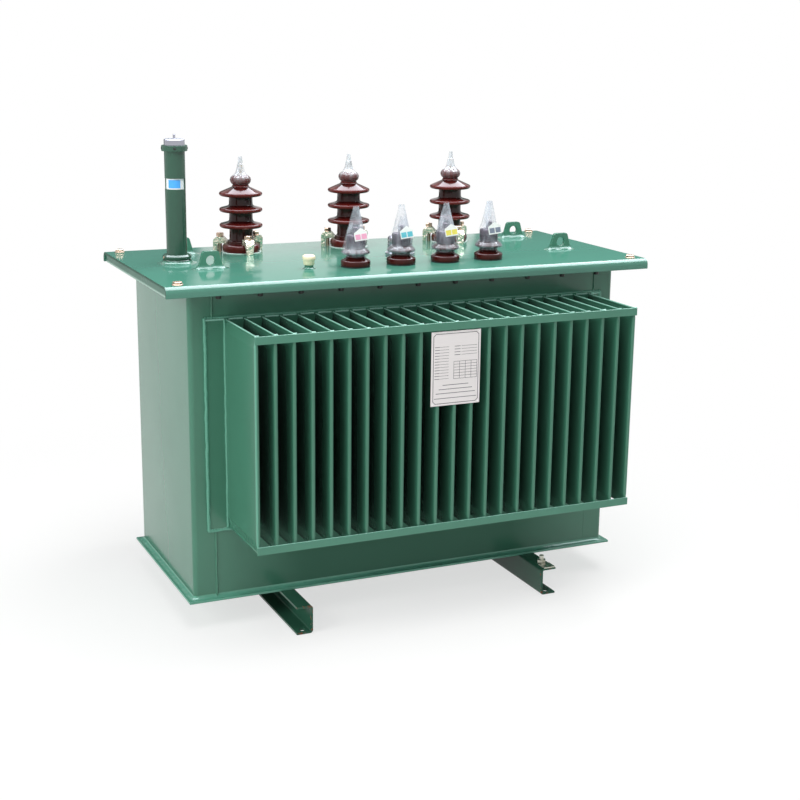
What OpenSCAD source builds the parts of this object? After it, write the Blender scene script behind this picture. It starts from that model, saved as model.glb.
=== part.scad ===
// Three-phase oil-immersed distribution transformer with corrugated fin walls.
// Origin on the ground under the middle of the tank. X runs along the tank,
// -Y is the front (low-voltage side), Z is up. All sizes are millimetres.

/* [Base] */
// Height of the folded base channels
channel_h = 72; // [60:1:100]
// Width of the channel flanges
channel_w = 42; // [34:1:60]
// Plate thickness of the channels
channel_t = 5; // [4:0.5:7]
// Outside radius of the channel folds
channel_fold_r = 8; // [7.5:0.5:12]
// Reach of the channels beyond the tank, front and back
channel_reach = 131; // [60:1:200]
// Clear distance between the two channel webs
channel_gap = 640; // [500:2:800]
// Diameter of the foundation bolt holes
foot_hole_d = 15; // [10:0.5:18]
// Foundation hole to the back of the channel web
foot_hole_inset = 22; // [18:0.5:28]
// Foundation hole to the end of the channel
foot_hole_end = 17; // [12:0.5:40]
// Thickness of the base plate
base_t = 6; // [4:0.5:12]
// Overhang of the base plate round the tank
base_overhang = 16; // [8:1:40]
// Length of the earthing pad along the right channel
earth_pad = 32; // [24:1:50]
// Thickness of the earthing pad
earth_pad_t = 3; // [2:0.5:5]
// Thread diameter of the earthing bolt
earth_bolt_d = 12; // [8:1:16]

/* [Tank] */
// Length of the tank over its walls
tank_l = 1160; // [1100:2:1280]
// Width of the tank over its walls
tank_w = 484; // [420:2:560]
// Height of the tank walls
tank_h = 765; // [640:1:900]
// Wall thickness
wall_t = 4; // [3:0.5:8]
// Outside radius of the folded corners
corner_r = 12; // [9:0.5:30]
// Return of the folded end plates along the long sides
wall_return = 58; // [40:1:100]
// Thickness of the cover flange on the tank
flange_t = 8; // [5:0.5:14]
// Thickness of the pressed cover gasket
gasket_t = 6; // [3:0.5:10]
// Width of the cover gasket
gasket_w = 24; // [12:1:28]

/* [Fin walls] */
// Spacing of the fins
fin_pitch = 45.2; // [30:0.1:80]
// Shift of the fin row to the right of the tank middle, seen from its front
fin_shift = 10; // [0:0.5:20]
// Thickness of a fin
fin_t = 9.5; // [7:0.5:14]
// Depth of a fin from its panel to its nose
fin_depth = 218; // [60:1:320]
// Lower edge of the fins above the base plate
fin_rise = 177; // [60:1:260]
// Upper edge of the fins below the tank flange
fin_drop = 73; // [40:1:200]
// Thickness of the pinched and welded upper and lower fin edges
fin_edge_t = 3; // [2:0.5:5]
// Height over which a fin is pinched in
fin_pinch = 16; // [8:1:40]
// Thickness of the fin panel sheet
panel_t = 3; // [1.5:0.5:5]
// Least panel border beyond the outer fins
panel_side = 25; // [15:1:80]
// Panel border above and below the fins
panel_edge = 5; // [4:0.5:12]
// Lap of the panel on the tank walls
panel_lap = 18; // [8:1:30]
// Height of the flat bars across the fin noses
bar_h = 19; // [12:1:30]
// Thickness of those bars
bar_t = 4; // [3:0.5:8]

/* [Cover] */
// Overhang of the cover at the tank ends
cover_end_over = 67; // [50:1:120]
// Overhang of the cover at the long sides
cover_side_over = 61; // [48:1:100]
// Plate thickness of the cover
cover_t = 6; // [4:0.5:8]
// Height of the folded edge, lip and plate together
cover_edge_h = 26; // [22:1:50]
// Outside radius of the cover fold
cover_fold_r = 16; // [9:0.5:20]
// Thickness of the end strips under the cover
end_strip_t = 5; // [3:0.5:8]
// Distance of the end strips in from the plate edge
end_strip_inset = 4; // [2:0.5:10]

/* [Lifting lugs] */
// Middle of the left lugs from the cover end
lug_left_end = 177; // [90:1:240]
// Middle of the front right lug from the cover end
lug_right_end = 131; // [70:1:240]
// Middle of the back right lug from the cover end
lug_back_right_end = 139; // [70:1:240]
// Front lugs from the front cover edge
lug_front_edge = 233; // [190:1:260]
// Back lugs from the back cover edge
lug_back_edge = 121; // [40:1:160]
// Width of a lug at the weld
lug_base_w = 65; // [60:1:90]
// Width of a lug at the top
lug_top_w = 40; // [36:1:58]
// Height of a lug
lug_h = 44; // [38:1:60]
// Thickness of a lug
lug_t = 10; // [6:0.5:16]
// Diameter of the lifting hole
lug_hole_d = 24; // [16:0.5:26]
// Height of the lifting hole
lug_hole_z = 21; // [19:0.5:28]
// Radius of the upper lug corners
lug_round = 8; // [4:0.5:10]

/* [High-voltage bushings] */
// Outer high-voltage bushings from the tank ends, for a middle one at the tank middle
hv_end = 274.5; // [200:0.5:340]
// Shift of the high-voltage row to the right of the tank middle
hv_mid_x = -3; // [-20:1:25]
// Row of high-voltage bushings from the back cover edge
hv_edge = 126; // [90:1:150]
// Radius of the porcelain core
hv_core_r = 31; // [22:0.5:36]
// Width of the porcelain foot beyond the core
hv_foot_out = 19; // [17:0.5:26]
// Height of the clamping shelf of the foot
hv_shelf_z = 22; // [18:0.5:40]
// Reach of the sheds beyond the core
hv_shed_out = 25.5; // [18:0.5:36]
// Height of the lowest shed
hv_first_shed_z = 70; // [60:0.5:80]
// Spacing of the sheds
hv_shed_pitch = 40.5; // [34:0.5:56]
// Step in from the core to the neck under the head
hv_neck_in = 9; // [4:0.5:11]
// Bulge of the porcelain head beyond the neck
hv_head_out = 5.5; // [3:0.5:9]
// Length of the protective cap above the head middle
hv_cap_l = 60; // [46:0.5:80]
// Width of a clamp claw
claw_w = 24; // [16:0.5:28]
// Height of a clamp claw above the shelf
claw_t = 17; // [14:0.5:20]

/* [Low-voltage bushings] */
// Spacing of the low-voltage bushings
lv_pitch = 124; // [100:1:140]
// First low-voltage bushing along the tank
lv_first_x = -122.5; // [-160:0.5:-60]
// Row of low-voltage bushings from the front cover edge
lv_edge = 143; // [120:1:200]
// Radius of the waist between foot and shed
lv_waist_r = 23; // [18:0.5:28]
// Height of that waist
lv_waist_h = 5; // [2:0.5:12]
// Width of the porcelain foot beyond the waist
lv_foot_out = 14; // [10:0.5:20]
// Thickness of the rubber seal under the foot
lv_seal_t = 3; // [2:0.5:5]
// Height of the foot rim
lv_foot_h = 9; // [7:0.5:18]
// Reach of the upper shed beyond the waist
lv_shed_out = 12; // [9:0.5:18]
// Width of the terminal clamp
lv_clamp_w = 40; // [26:1:46]
// Depth of the terminal clamp
lv_clamp_d = 24; // [16:1:28]
// Height of the terminal clamp
lv_clamp_h = 24; // [14:1:30]
// Length of the protective cap above the shed rim
lv_cap_l = 113; // [95:1:140]

/* [Fittings] */
// Filler and oil-level tube from the left cover end
filler_end = 127; // [90:1:160]
// Filler and oil-level tube from the back cover edge
filler_edge = 255; // [185:1:280]
// Outside radius of the filler tube
filler_r = 25.5; // [20:0.5:28]
// Wall of the filler tube
filler_wall = 3; // [2:0.5:5]
// Length of the filler tube
filler_h = 291.5; // [240:0.5:360]
// Width of the weld ring round the foot of the tube
filler_foot_w = 10.5; // [6:0.5:16]
// Height of the weld ring
filler_foot_h = 22.5; // [12:0.5:30]
// Width of the collar round the top of the tube
filler_collar_w = 6.5; // [4:0.5:12]
// Height of that collar
filler_collar_h = 14; // [10:0.5:30]
// Middle of the sight window up the tube
window_z = 198; // [150:1:210]
// Height of the sight window
window_h = 26.5; // [15:0.5:40]
// Turn of the sight window from the front to the left, in degrees
window_turn = 30; // [0:5:60]
// Height of the filler cap
filler_cap_h = 15.5; // [10:0.5:30]
// Pocket for the thermometer along the tank
pocket_x = -244; // [-300:1:-200]
// Pocket for the thermometer from the front cover edge
pocket_edge = 150; // [60:1:190]
// Radius of the pocket neck
pocket_r = 11; // [8:0.5:14]
// Height of the pocket neck
pocket_h = 10; // [8:0.5:20]
// Radius of the pocket cap
pocket_cap_r = 16; // [15:0.5:22]
// Height of the pocket cap
pocket_cap_h = 24.5; // [20:0.5:36]
// Pressure relief valve to the right of the second low-voltage bushing
relief_shift = 57; // [-40:1:62]
// Clearance between the relief valve and the row of low-voltage bushings
relief_gap = 57; // [0.5:0.5:80]
// Radius of the relief valve housing
relief_r = 32.5; // [24:0.5:42]
// Height of the relief valve
relief_h = 52; // [40:1:90]
// Width of the nameplate
plate_w = 130; // [100:1:160]
// Height of the nameplate
plate_h = 180; // [120:1:200]
// Thickness of the nameplate
plate_t = 1.5; // [1:0.5:3]
// Middle of the nameplate along the tank
plate_x = 9.5; // [-100:0.5:100]
// Gap between the nameplate and the upper fin bar
plate_drop = 3; // [2:0.5:20]

/* [Hidden] */
$fn = 64;
// Clearance round pieces that slip over one another
slip_gap = 0.3;
// Clearance between the tank flange and the folded cover
flange_gap = 4;
// Extra depth that lets a cut pass through a face
cut = 1;

tank_half_l = tank_l / 2;
tank_half_w = tank_w / 2;
channel_l = tank_w + 2 * channel_reach;
cover_l = tank_l + 2 * cover_end_over;
cover_w = tank_w + 2 * cover_side_over;

base_z = channel_h;
tank_z = base_z + base_t;
flange_z = tank_z + tank_h;
gasket_z = flange_z + flange_t;
cover_z = gasket_z + gasket_t;
top_z = cover_z + cover_t;

fin_z = tank_z + fin_rise;
fin_h = tank_h - fin_rise - fin_drop;
seam_x = tank_half_l - wall_return;
panel_half_l = seam_x + panel_lap;
fin_count = 1 + floor((2 * (panel_half_l - panel_side - fin_shift) - fin_t) / fin_pitch);
fin_half_span = (fin_count - 1) * fin_pitch / 2;
panel_h = fin_h + 2 * panel_edge;
panel_z = fin_z - panel_edge;
panel_y = tank_half_w + panel_t;
nose_y = panel_y + fin_depth;

flange_half_l = cover_l / 2 - end_strip_inset - end_strip_t - flange_gap;
flange_half_w = cover_w / 2 - cover_t - flange_gap;
lip_z = top_z - cover_edge_h;

lug_left_x = lug_left_end - cover_l / 2;
lug_right_x = cover_l / 2 - lug_right_end;
lug_back_right_x = cover_l / 2 - lug_back_right_end;
lug_front_y = lug_front_edge - cover_w / 2;
lug_back_y = cover_w / 2 - lug_back_edge;

hv_pitch = tank_half_l - hv_end;
hv_y = cover_w / 2 - hv_edge;
hv_foot_r = hv_core_r + hv_foot_out;
hv_shed_r = hv_core_r + hv_shed_out;
hv_neck_r = hv_core_r - hv_neck_in;
hv_head_r = hv_neck_r + hv_head_out;

lv_y = lv_edge - cover_w / 2;
lv_foot_r = lv_waist_r + lv_foot_out;
lv_shed_r = lv_waist_r + lv_shed_out;

filler_x = filler_end - cover_l / 2;
filler_y = cover_w / 2 - filler_edge;
filler_foot_r = filler_r + filler_foot_w;
filler_collar_r = filler_r + filler_collar_w;
pocket_y = pocket_edge - cover_w / 2;
relief_foot_w = 6;
relief_foot_r = relief_r + relief_foot_w;
relief_x = lv_first_x + lv_pitch + relief_shift;
relief_y = lv_y + lv_foot_r + relief_foot_r + relief_gap;

paint = "#3f7f63";
porcelain = "#5a1a17";
zinc = "#c9c9b4";
clear_cap = "#e4e8ee";

function arc(centre, r, from, to, steps = 8) =
    [for (i = [0:steps]) let (a = from + (to - from) * i / steps) centre + r * [cos(a), sin(a)]];

// Plan outline with round corners
module round_rect(l, w, r) {
    square([l - 2 * r, w], center = true);
    square([l, w - 2 * r], center = true);
    for (x = [-1, 1], y = [-1, 1])
        translate([x * (l / 2 - r), y * (w / 2 - r)]) circle(r);
}

// Stands an outline drawn in X and Z upright, centred on its depth in Y
module upright(depth) {
    rotate([90, 0, 0]) linear_extrude(depth, center = true) children();
}

// Sets children on the top of the cover
module on_cover(x, y) {
    translate([x, y, top_z]) children();
}

// Turns the front half of the tank round to the back
module to_back() {
    rotate([0, 0, 180]) children();
}

// Base

module channel_outline() {
    fold = channel_fold_r;
    inside = fold - channel_t;
    low = [fold, fold];
    high = [fold, channel_h - fold];
    polygon(concat(
        [[channel_w, 0]], arc(low, fold, 270, 180), arc(high, fold, 180, 90),
        [[channel_w, channel_h], [channel_w, channel_h - channel_t]],
        arc(high, inside, 90, 180), arc(low, inside, 180, 270), [[channel_w, channel_t]]));
}

// Folded channel with its back to the tank middle and its flanges turned out
module base_channel() {
    color(paint) difference() {
        translate([channel_gap / 2, 0, 0]) upright(channel_l) channel_outline();
        for (side = [-1, 1])
            translate([channel_gap / 2 + foot_hole_inset, side * (channel_l / 2 - foot_hole_end), -cut])
                cylinder(d = foot_hole_d, h = channel_t + 2 * cut);
    }
}

module base_plate() {
    color(paint) translate([0, 0, base_z + base_t / 2])
        cube([tank_l + 2 * base_overhang, tank_w + 2 * base_overhang, base_t], center = true);
}

// Bare pad and bolt on the front end of the right channel
module earth_terminal() {
    nut_h = 0.8 * earth_bolt_d;
    pad_w = channel_w - channel_fold_r - 2;
    pad_x = channel_gap / 2 + channel_fold_r + pad_w / 2;
    pad_y = -channel_l / 2 + earth_pad / 2;
    bolt_y = pad_y + earth_pad / 2 + earth_bolt_d;
    color(zinc) {
        translate([pad_x, pad_y, base_z + earth_pad_t / 2])
            cube([pad_w, earth_pad, earth_pad_t], center = true);
        translate([pad_x, bolt_y, base_z]) {
            cylinder(r = earth_bolt_d, h = nut_h, $fn = 6);
            cylinder(d = earth_bolt_d, h = 2.2 * nut_h);
        }
    }
}

// Tank walls

// Inside of the tank in plan
module tank_mouth() {
    round_rect(tank_l - 2 * wall_t, tank_w - 2 * wall_t, corner_r - wall_t);
}

module tank_ring() {
    difference() {
        round_rect(tank_l, tank_w, corner_r);
        tank_mouth();
    }
}

// End plate folded round both corners as far as the seams
module end_wall() {
    color(paint) translate([0, 0, tank_z]) linear_extrude(tank_h) intersection() {
        tank_ring();
        translate([seam_x, -tank_half_w]) square([wall_return, tank_w]);
    }
}

module wall_strip(z, h) {
    color(paint) translate([-seam_x, -tank_half_w, z]) cube([2 * seam_x, wall_t, h]);
}

module upper_strip() {
    z = panel_z + panel_h - panel_lap;
    wall_strip(z, flange_z - z);
}

module lower_strip() {
    wall_strip(tank_z, panel_z + panel_lap - tank_z);
}

// Fin walls

module fin_panel() {
    color(paint) translate([-panel_half_l, -panel_y, panel_z]) cube([2 * panel_half_l, panel_t, panel_h]);
}

// Front view of a fin, pinched together at its welded ends
module fin_front_outline() {
    half = fin_t / 2;
    edge = fin_edge_t / 2;
    polygon([
        [-edge, 0], [edge, 0], [half, fin_pinch], [half, fin_h - fin_pinch],
        [edge, fin_h], [-edge, fin_h], [-half, fin_h - fin_pinch], [-half, fin_pinch]]);
}

// Plan of a fin, with its round nose to the front
module fin_plan_outline() {
    straight = fin_depth - fin_t / 2;
    translate([-fin_t / 2, -straight]) square([fin_t, straight]);
    translate([0, -straight]) circle(d = fin_t);
}

module fins() {
    color(paint) for (i = [0:fin_count - 1])
        translate([fin_shift + i * fin_pitch - fin_half_span, -panel_y, fin_z]) intersection() {
            linear_extrude(fin_h) fin_plan_outline();
            upright(3 * fin_depth) fin_front_outline();
        }
}

module fin_bars() {
    half_l = fin_half_span + fin_t / 2;
    color(paint) for (z = [fin_z, fin_z + fin_h - bar_h])
        translate([fin_shift - half_l, -nose_y - bar_t, z]) cube([2 * half_l, bar_t, bar_h]);
}

module nameplate() {
    top = fin_z + fin_h - bar_h - plate_drop;
    color("#d9dad6") translate([plate_x - plate_w / 2, -nose_y - plate_t, top - plate_h])
        cube([plate_w, plate_t, plate_h]);
}

// Cover

module tank_flange() {
    color(paint) translate([0, 0, flange_z]) linear_extrude(flange_t) difference() {
        square([2 * flange_half_l, 2 * flange_half_w], center = true);
        tank_mouth();
    }
}

module cover_gasket() {
    l = tank_l - 2 * wall_t + 2 * gasket_w;
    w = tank_w - 2 * wall_t + 2 * gasket_w;
    color("#26211d") translate([0, 0, gasket_z]) linear_extrude(gasket_t) difference() {
        round_rect(l, w, corner_r - wall_t + gasket_w);
        tank_mouth();
    }
}

// End view of the cover plate with both long edges folded down
module cover_outline() {
    half = cover_w / 2;
    fold = cover_fold_r;
    inside = fold - cover_t;
    right = [half - fold, top_z - fold];
    left = [fold - half, top_z - fold];
    polygon(concat(
        [[half, lip_z]], arc(right, fold, 0, 90), arc(left, fold, 90, 180),
        [[-half, lip_z], [cover_t - half, lip_z]],
        arc(left, inside, 180, 90), arc(right, inside, 90, 0), [[half - cover_t, lip_z]]));
}

module cover() {
    color(paint) rotate([90, 0, 90]) linear_extrude(cover_l, center = true) cover_outline();
}

// Flat strips that close the cover edge at both ends, between the lips
module cover_end_strips() {
    w = cover_w - 2 * cover_fold_r;
    x = cover_l / 2 - end_strip_inset - end_strip_t / 2;
    h = cover_z - lip_z;
    color(paint) for (side = [-1, 1])
        translate([side * x, 0, lip_z + h / 2]) cube([end_strip_t, w, h], center = true);
}

// Lifting lugs

module lug(x, y) {
    slope = atan2((lug_base_w - lug_top_w) / 2, lug_h);
    level = lug_h - lug_round;
    reach = lug_base_w / 2 - (lug_round + sin(slope) * level) / cos(slope);
    color(paint) on_cover(x, y) difference() {
        upright(lug_t) polygon(concat(
            [[-lug_base_w / 2, 0], [lug_base_w / 2, 0]],
            arc([reach, level], lug_round, slope, 90),
            arc([-reach, level], lug_round, 90, 180 - slope)));
        translate([0, 0, lug_hole_z]) rotate([90, 0, 0])
            cylinder(d = lug_hole_d, h = lug_t + 2 * cut, center = true);
    }
}

// High-voltage bushings

hv_rim = 4.5;
hv_shed_drop = 6;
hv_low_rise = 7;
hv_fillet = 5;
hv_roof_rise = 20;
hv_neck_h = 3;
hv_head_round = 13;
hv_foot_round = 0.4 * hv_shelf_z;
hv_top_shed_z = hv_first_shed_z + 2 * hv_shed_pitch;
hv_neck_z = hv_top_shed_z + hv_roof_rise;
hv_head_z = hv_neck_z + hv_neck_h + 14.5;
hv_head_top = hv_head_z + hv_head_round;
hv_head_centre = [hv_head_r - hv_head_round, hv_head_z];
hv_cap_t = 1.2;
hv_stud_r = 5;
claw_stud_r = hv_foot_r + 7;
claw_hole_d = 11;

function hv_shed(z) = concat(
    [[hv_core_r, z - hv_shed_drop]], arc([hv_shed_r - hv_rim, z], hv_rim, -82, 72));

// Thin lower shed with a fillet at the core
function hv_low_shed(z) = concat(
    hv_shed(z),
    [[hv_core_r + hv_fillet, z + hv_low_rise], [hv_core_r, z + hv_low_rise + hv_fillet]]);

// Rounded foot with a flat shelf for the claws
function hv_foot() = concat(
    [[0, 0], [hv_foot_r - 4, 0], [hv_foot_r - 1, hv_foot_round / 2]],
    arc([hv_foot_r - hv_foot_round, hv_shelf_z - hv_foot_round], hv_foot_round, 0, 90, 8),
    arc([hv_core_r + hv_fillet, hv_shelf_z + hv_fillet], hv_fillet, 270, 180, 5));

module hv_bushing(i) {
    head = arc(hv_head_centre, hv_head_round, -65, 90, 12);
    sheds = [for (k = [0, 1]) each hv_low_shed(hv_first_shed_z + k * hv_shed_pitch)];
    color(porcelain) on_cover(hv_mid_x + (i - 1) * hv_pitch, hv_y) rotate_extrude()
        polygon(concat(
            hv_foot(), sheds, hv_shed(hv_top_shed_z),
            [[hv_neck_r, hv_neck_z], [hv_neck_r, hv_neck_z + hv_neck_h]],
            head, [[0, hv_head_top]]));
}

module claw_outline() {
    inner = hv_core_r + hv_fillet + 2;
    leg_in = claw_stud_r + 7;
    leg_out = leg_in + 10;
    top = hv_shelf_z + claw_t;
    tip_t = 0.4 * claw_t;
    polygon(concat(
        [[inner, hv_shelf_z]],
        arc([leg_in - 9, hv_shelf_z - 9], 9, 90, 0, 6),
        [[leg_in, 0], [leg_out, 0]],
        arc([leg_out - 14, top - 14], 14, 0, 90, 8),
        [[claw_stud_r - 9, top], [inner, hv_shelf_z + tip_t]]));
}

// Three claws on the shelf of each bushing, the first towards the front
module hv_clamps() {
    color(zinc) for (i = [0:2], turn = [-90, 30, 150])
        on_cover(hv_mid_x + (i - 1) * hv_pitch, hv_y) rotate([0, 0, turn]) difference() {
            upright(claw_w) claw_outline();
            translate([claw_stud_r, 0, 0]) cylinder(d = claw_hole_d, h = hv_shelf_z + claw_t + cut);
        }
}

module hv_studs() {
    color("#b08d4a") for (i = [0:2])
        on_cover(hv_mid_x + (i - 1) * hv_pitch, hv_y) translate([0, 0, hv_head_top])
            cylinder(r = hv_stud_r, h = 0.42 * hv_cap_l);
}

// Soft cap that grips the head from below and covers the stud
module hv_caps() {
    inside = hv_head_round + slip_gap;
    outside = inside + hv_cap_t;
    tip = hv_head_z + hv_cap_l;
    shoulder = hv_head_z + 0.4 * hv_cap_l;
    step = hv_head_z + 0.75 * hv_cap_l;
    color(clear_cap, 0.6) for (i = [0:2])
        on_cover(hv_mid_x + (i - 1) * hv_pitch, hv_y) rotate_extrude() polygon(concat(
            arc(hv_head_centre, outside, -65, 55, 12),
            [[hv_stud_r + 8.5, shoulder], [hv_stud_r + 4.2, step], [hv_stud_r + 2.4, step + 1],
             [hv_stud_r + 1.4, tip], [0, tip], [0, tip - 2 * hv_cap_t],
             [hv_stud_r + 0.6, tip - 2 * hv_cap_t], [hv_stud_r + 1.2, step],
             [hv_stud_r + 7, shoulder]],
            arc(hv_head_centre, inside, 60, -65, 12)));
}

// Low-voltage bushings

lv_rim = 3.5;
lv_foot_slope_h = 13.5;
lv_shed_drop = 6;
lv_foot_top = lv_seal_t + lv_foot_h;
lv_waist_z = lv_foot_top + lv_foot_slope_h;
lv_rim_z = lv_waist_z + lv_waist_h + lv_shed_drop;
lv_rim_centre = [lv_shed_r - lv_rim, lv_rim_z];
lv_top_z = lv_rim_z + 11;
lv_top_r = lv_waist_r - 2;
lv_nut_h = 7;
lv_cap_t = 1.2;
lv_stud_r = 6;

module lv_bushing(i) {
    color(porcelain) on_cover(lv_first_x + (i - 1) * lv_pitch, lv_y) rotate_extrude()
        polygon(concat(
            [[0, lv_seal_t], [lv_foot_r - 2, lv_seal_t]],
            arc([lv_foot_r - 2, lv_seal_t + 2], 2, -90, 0, 4),
            arc([lv_foot_r - 3, lv_foot_top - 3], 3, 0, 50, 4),
            [[lv_waist_r + 4, lv_waist_z - 3], [lv_waist_r, lv_waist_z],
             [lv_waist_r, lv_rim_z - lv_shed_drop]],
            arc(lv_rim_centre, lv_rim, -75, 60),
            [[lv_top_r, lv_top_z], [0, lv_top_z]]));
}

module lv_seals() {
    color("#202122") for (i = [1:4])
        on_cover(lv_first_x + (i - 1) * lv_pitch, lv_y) cylinder(r = lv_foot_r - 1, h = lv_seal_t);
}

// Nut and clamp block on the threaded stud of each bushing
module lv_terminals() {
    stud_h = lv_nut_h + lv_clamp_h + 0.3 * lv_cap_l;
    color("#4a4048") for (i = [1:4])
        on_cover(lv_first_x + (i - 1) * lv_pitch, lv_y) translate([0, 0, lv_top_z]) {
            cylinder(r = lv_top_r - 2, h = lv_nut_h, $fn = 6);
            translate([0, 0, lv_nut_h + lv_clamp_h / 2])
                cube([lv_clamp_w, lv_clamp_d, lv_clamp_h], center = true);
            cylinder(r = lv_stud_r, h = stud_h);
        }
}

// Soft cap that hooks under the shed rim and tapers over the terminal
module lv_caps() {
    inside = lv_rim + slip_gap;
    outside = inside + lv_cap_t;
    body_r = norm([lv_clamp_w, lv_clamp_d]) / 2 + slip_gap;
    body_z = lv_top_z + lv_nut_h + lv_clamp_h + 2;
    tip = lv_rim_z + lv_cap_l;
    tip_r = lv_stud_r + 1.5;
    color(clear_cap, 0.6) for (i = [1:4])
        on_cover(lv_first_x + (i - 1) * lv_pitch, lv_y) rotate_extrude() polygon(concat(
            arc(lv_rim_centre, outside, -80, 50),
            [[body_r + lv_cap_t, lv_top_z + 4], [body_r + lv_cap_t, body_z],
             [tip_r + lv_cap_t, tip - 4], [tip_r - 1, tip], [0, tip], [0, tip - lv_cap_t],
             [tip_r - 1.5, tip - lv_cap_t], [tip_r, tip - 4], [body_r, body_z],
             [body_r, lv_top_z + 3.5]],
            arc(lv_rim_centre, inside, 50, -80)));
}

// Fittings on the cover

// Weld ring with a groove between its two halves
module filler_foot() {
    bore = filler_r + slip_gap;
    groove = 1.5;
    mid = filler_foot_h / 2;
    color(paint) on_cover(filler_x, filler_y) rotate_extrude() polygon([
        [bore, 0], [filler_foot_r, 0], [filler_foot_r, mid - groove],
        [filler_foot_r - groove, mid], [filler_foot_r, mid + groove],
        [filler_foot_r, filler_foot_h - 2], [filler_foot_r - 2, filler_foot_h],
        [bore, filler_foot_h]]);
}

// Tube with a wide sight window cut half way through, turned a little to the left
module filler_tube() {
    color(paint) on_cover(filler_x, filler_y) difference() {
        cylinder(r = filler_r, h = filler_h);
        translate([0, 0, -cut]) cylinder(r = filler_r - filler_wall, h = filler_h + 2 * cut);
        rotate([0, 0, -window_turn]) translate([-filler_r - cut, -filler_r - cut, window_z - window_h / 2])
            cube([2 * (filler_r + cut), filler_r + cut, window_h]);
    }
}

module filler_sight_tube() {
    r = filler_r - filler_wall - slip_gap;
    h = window_h + 2 * filler_r;
    color("#3f78d8") on_cover(filler_x, filler_y) translate([0, 0, window_z - h / 2])
        difference() {
            cylinder(r = r, h = h);
            translate([0, 0, -cut]) cylinder(r = r - 2, h = h + 2 * cut);
        }
}

module filler_collar() {
    color(paint) on_cover(filler_x, filler_y) translate([0, 0, filler_h - filler_collar_h])
        difference() {
            cylinder(r = filler_collar_r, h = filler_collar_h);
            translate([0, 0, -cut]) cylinder(r = filler_r + slip_gap, h = filler_collar_h + 2 * cut);
        }
}

// Turned cap with a lifting pin
module filler_cap() {
    bevel = 2;
    pin_r = 3;
    pin_h = 11;
    color("silver") on_cover(filler_x, filler_y) translate([0, 0, filler_h]) rotate_extrude()
        polygon([
            [0, 0], [filler_r, 0], [filler_r, filler_cap_h - bevel],
            [filler_r - bevel, filler_cap_h], [pin_r, filler_cap_h],
            [pin_r, filler_cap_h + pin_h], [0, filler_cap_h + pin_h]]);
}

module pocket_neck() {
    color(paint) on_cover(pocket_x, pocket_y) cylinder(r = pocket_r, h = pocket_h);
}

module pocket_cap() {
    round = 6;
    color("#eadfc0") on_cover(pocket_x, pocket_y) translate([0, 0, pocket_h]) rotate_extrude()
        polygon(concat(
            [[0, 0], [pocket_cap_r - 2, 0], [pocket_cap_r - 2, pocket_cap_h - 2 * round]],
            arc([pocket_cap_r - round, pocket_cap_h - round], round, 0, 90, 6),
            [[0, pocket_cap_h]]));
}

// Spring housing on a screwed foot, with a groove under its cap
module pressure_relief_valve() {
    foot_h = 9;
    groove = 2;
    groove_z = 0.6 * relief_h;
    round = 8;
    color("silver") on_cover(relief_x, relief_y) rotate_extrude() polygon(concat(
        [[0, 0], [relief_foot_r, 0], [relief_foot_r, foot_h], [relief_r, foot_h],
         [relief_r, groove_z], [relief_r - groove, groove_z],
         [relief_r - groove, groove_z + groove], [relief_r, groove_z + groove]],
        arc([relief_r - round, relief_h - round], round, 0, 90, 6),
        [[0, relief_h]]));
}

mirror([1, 0, 0]) base_channel();  // base_channel_left
base_channel();  // base_channel_right
base_plate();
earth_terminal();
to_back() end_wall();  // left_end_wall
end_wall();  // right_end_wall
upper_strip();  // front_upper_strip
lower_strip();  // front_lower_strip
to_back() upper_strip();  // back_upper_strip
to_back() lower_strip();  // back_lower_strip
fin_panel();  // front_fin_panel
to_back() fin_panel();  // back_fin_panel
fins();  // front_fins
to_back() fins();  // back_fins
fin_bars();  // front_fin_bars
to_back() fin_bars();  // back_fin_bars
nameplate();
tank_flange();
cover_gasket();
cover();
cover_end_strips();
lug(lug_left_x, lug_front_y);  // lug_front_left
lug(lug_right_x, lug_front_y);  // lug_front_right
lug(lug_left_x, lug_back_y);  // lug_back_left
lug(lug_back_right_x, lug_back_y);  // lug_back_right
hv_bushing(0);  // hv_bushing_left
hv_bushing(1);  // hv_bushing_middle
hv_bushing(2);  // hv_bushing_right
hv_clamps();
hv_studs();
hv_caps();
lv_bushing(1);  // lv_bushing_1
lv_bushing(2);  // lv_bushing_2
lv_bushing(3);  // lv_bushing_3
lv_bushing(4);  // lv_bushing_4
lv_seals();
lv_terminals();
lv_caps();
filler_foot();
filler_tube();
filler_sight_tube();
filler_collar();
filler_cap();
pocket_neck();
pocket_cap();
pressure_relief_valve();
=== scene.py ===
from math import cos, hypot, pi, radians, sin, sqrt

import bmesh
import bpy
from mathutils import Matrix, Vector, noise


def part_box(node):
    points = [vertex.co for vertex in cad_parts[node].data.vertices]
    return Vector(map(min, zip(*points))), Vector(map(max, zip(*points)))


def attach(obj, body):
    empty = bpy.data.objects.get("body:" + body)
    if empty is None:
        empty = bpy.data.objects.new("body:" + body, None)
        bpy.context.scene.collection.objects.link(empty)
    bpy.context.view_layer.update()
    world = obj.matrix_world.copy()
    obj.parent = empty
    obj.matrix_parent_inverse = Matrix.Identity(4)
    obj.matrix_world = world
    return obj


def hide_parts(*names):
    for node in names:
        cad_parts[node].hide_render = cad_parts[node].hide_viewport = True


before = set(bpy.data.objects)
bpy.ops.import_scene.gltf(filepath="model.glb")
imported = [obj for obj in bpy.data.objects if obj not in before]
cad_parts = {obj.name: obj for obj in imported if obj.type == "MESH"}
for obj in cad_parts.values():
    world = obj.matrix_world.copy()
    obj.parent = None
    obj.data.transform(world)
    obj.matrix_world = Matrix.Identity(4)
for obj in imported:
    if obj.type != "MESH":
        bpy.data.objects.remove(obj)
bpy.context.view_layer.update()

scene = bpy.context.scene

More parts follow.
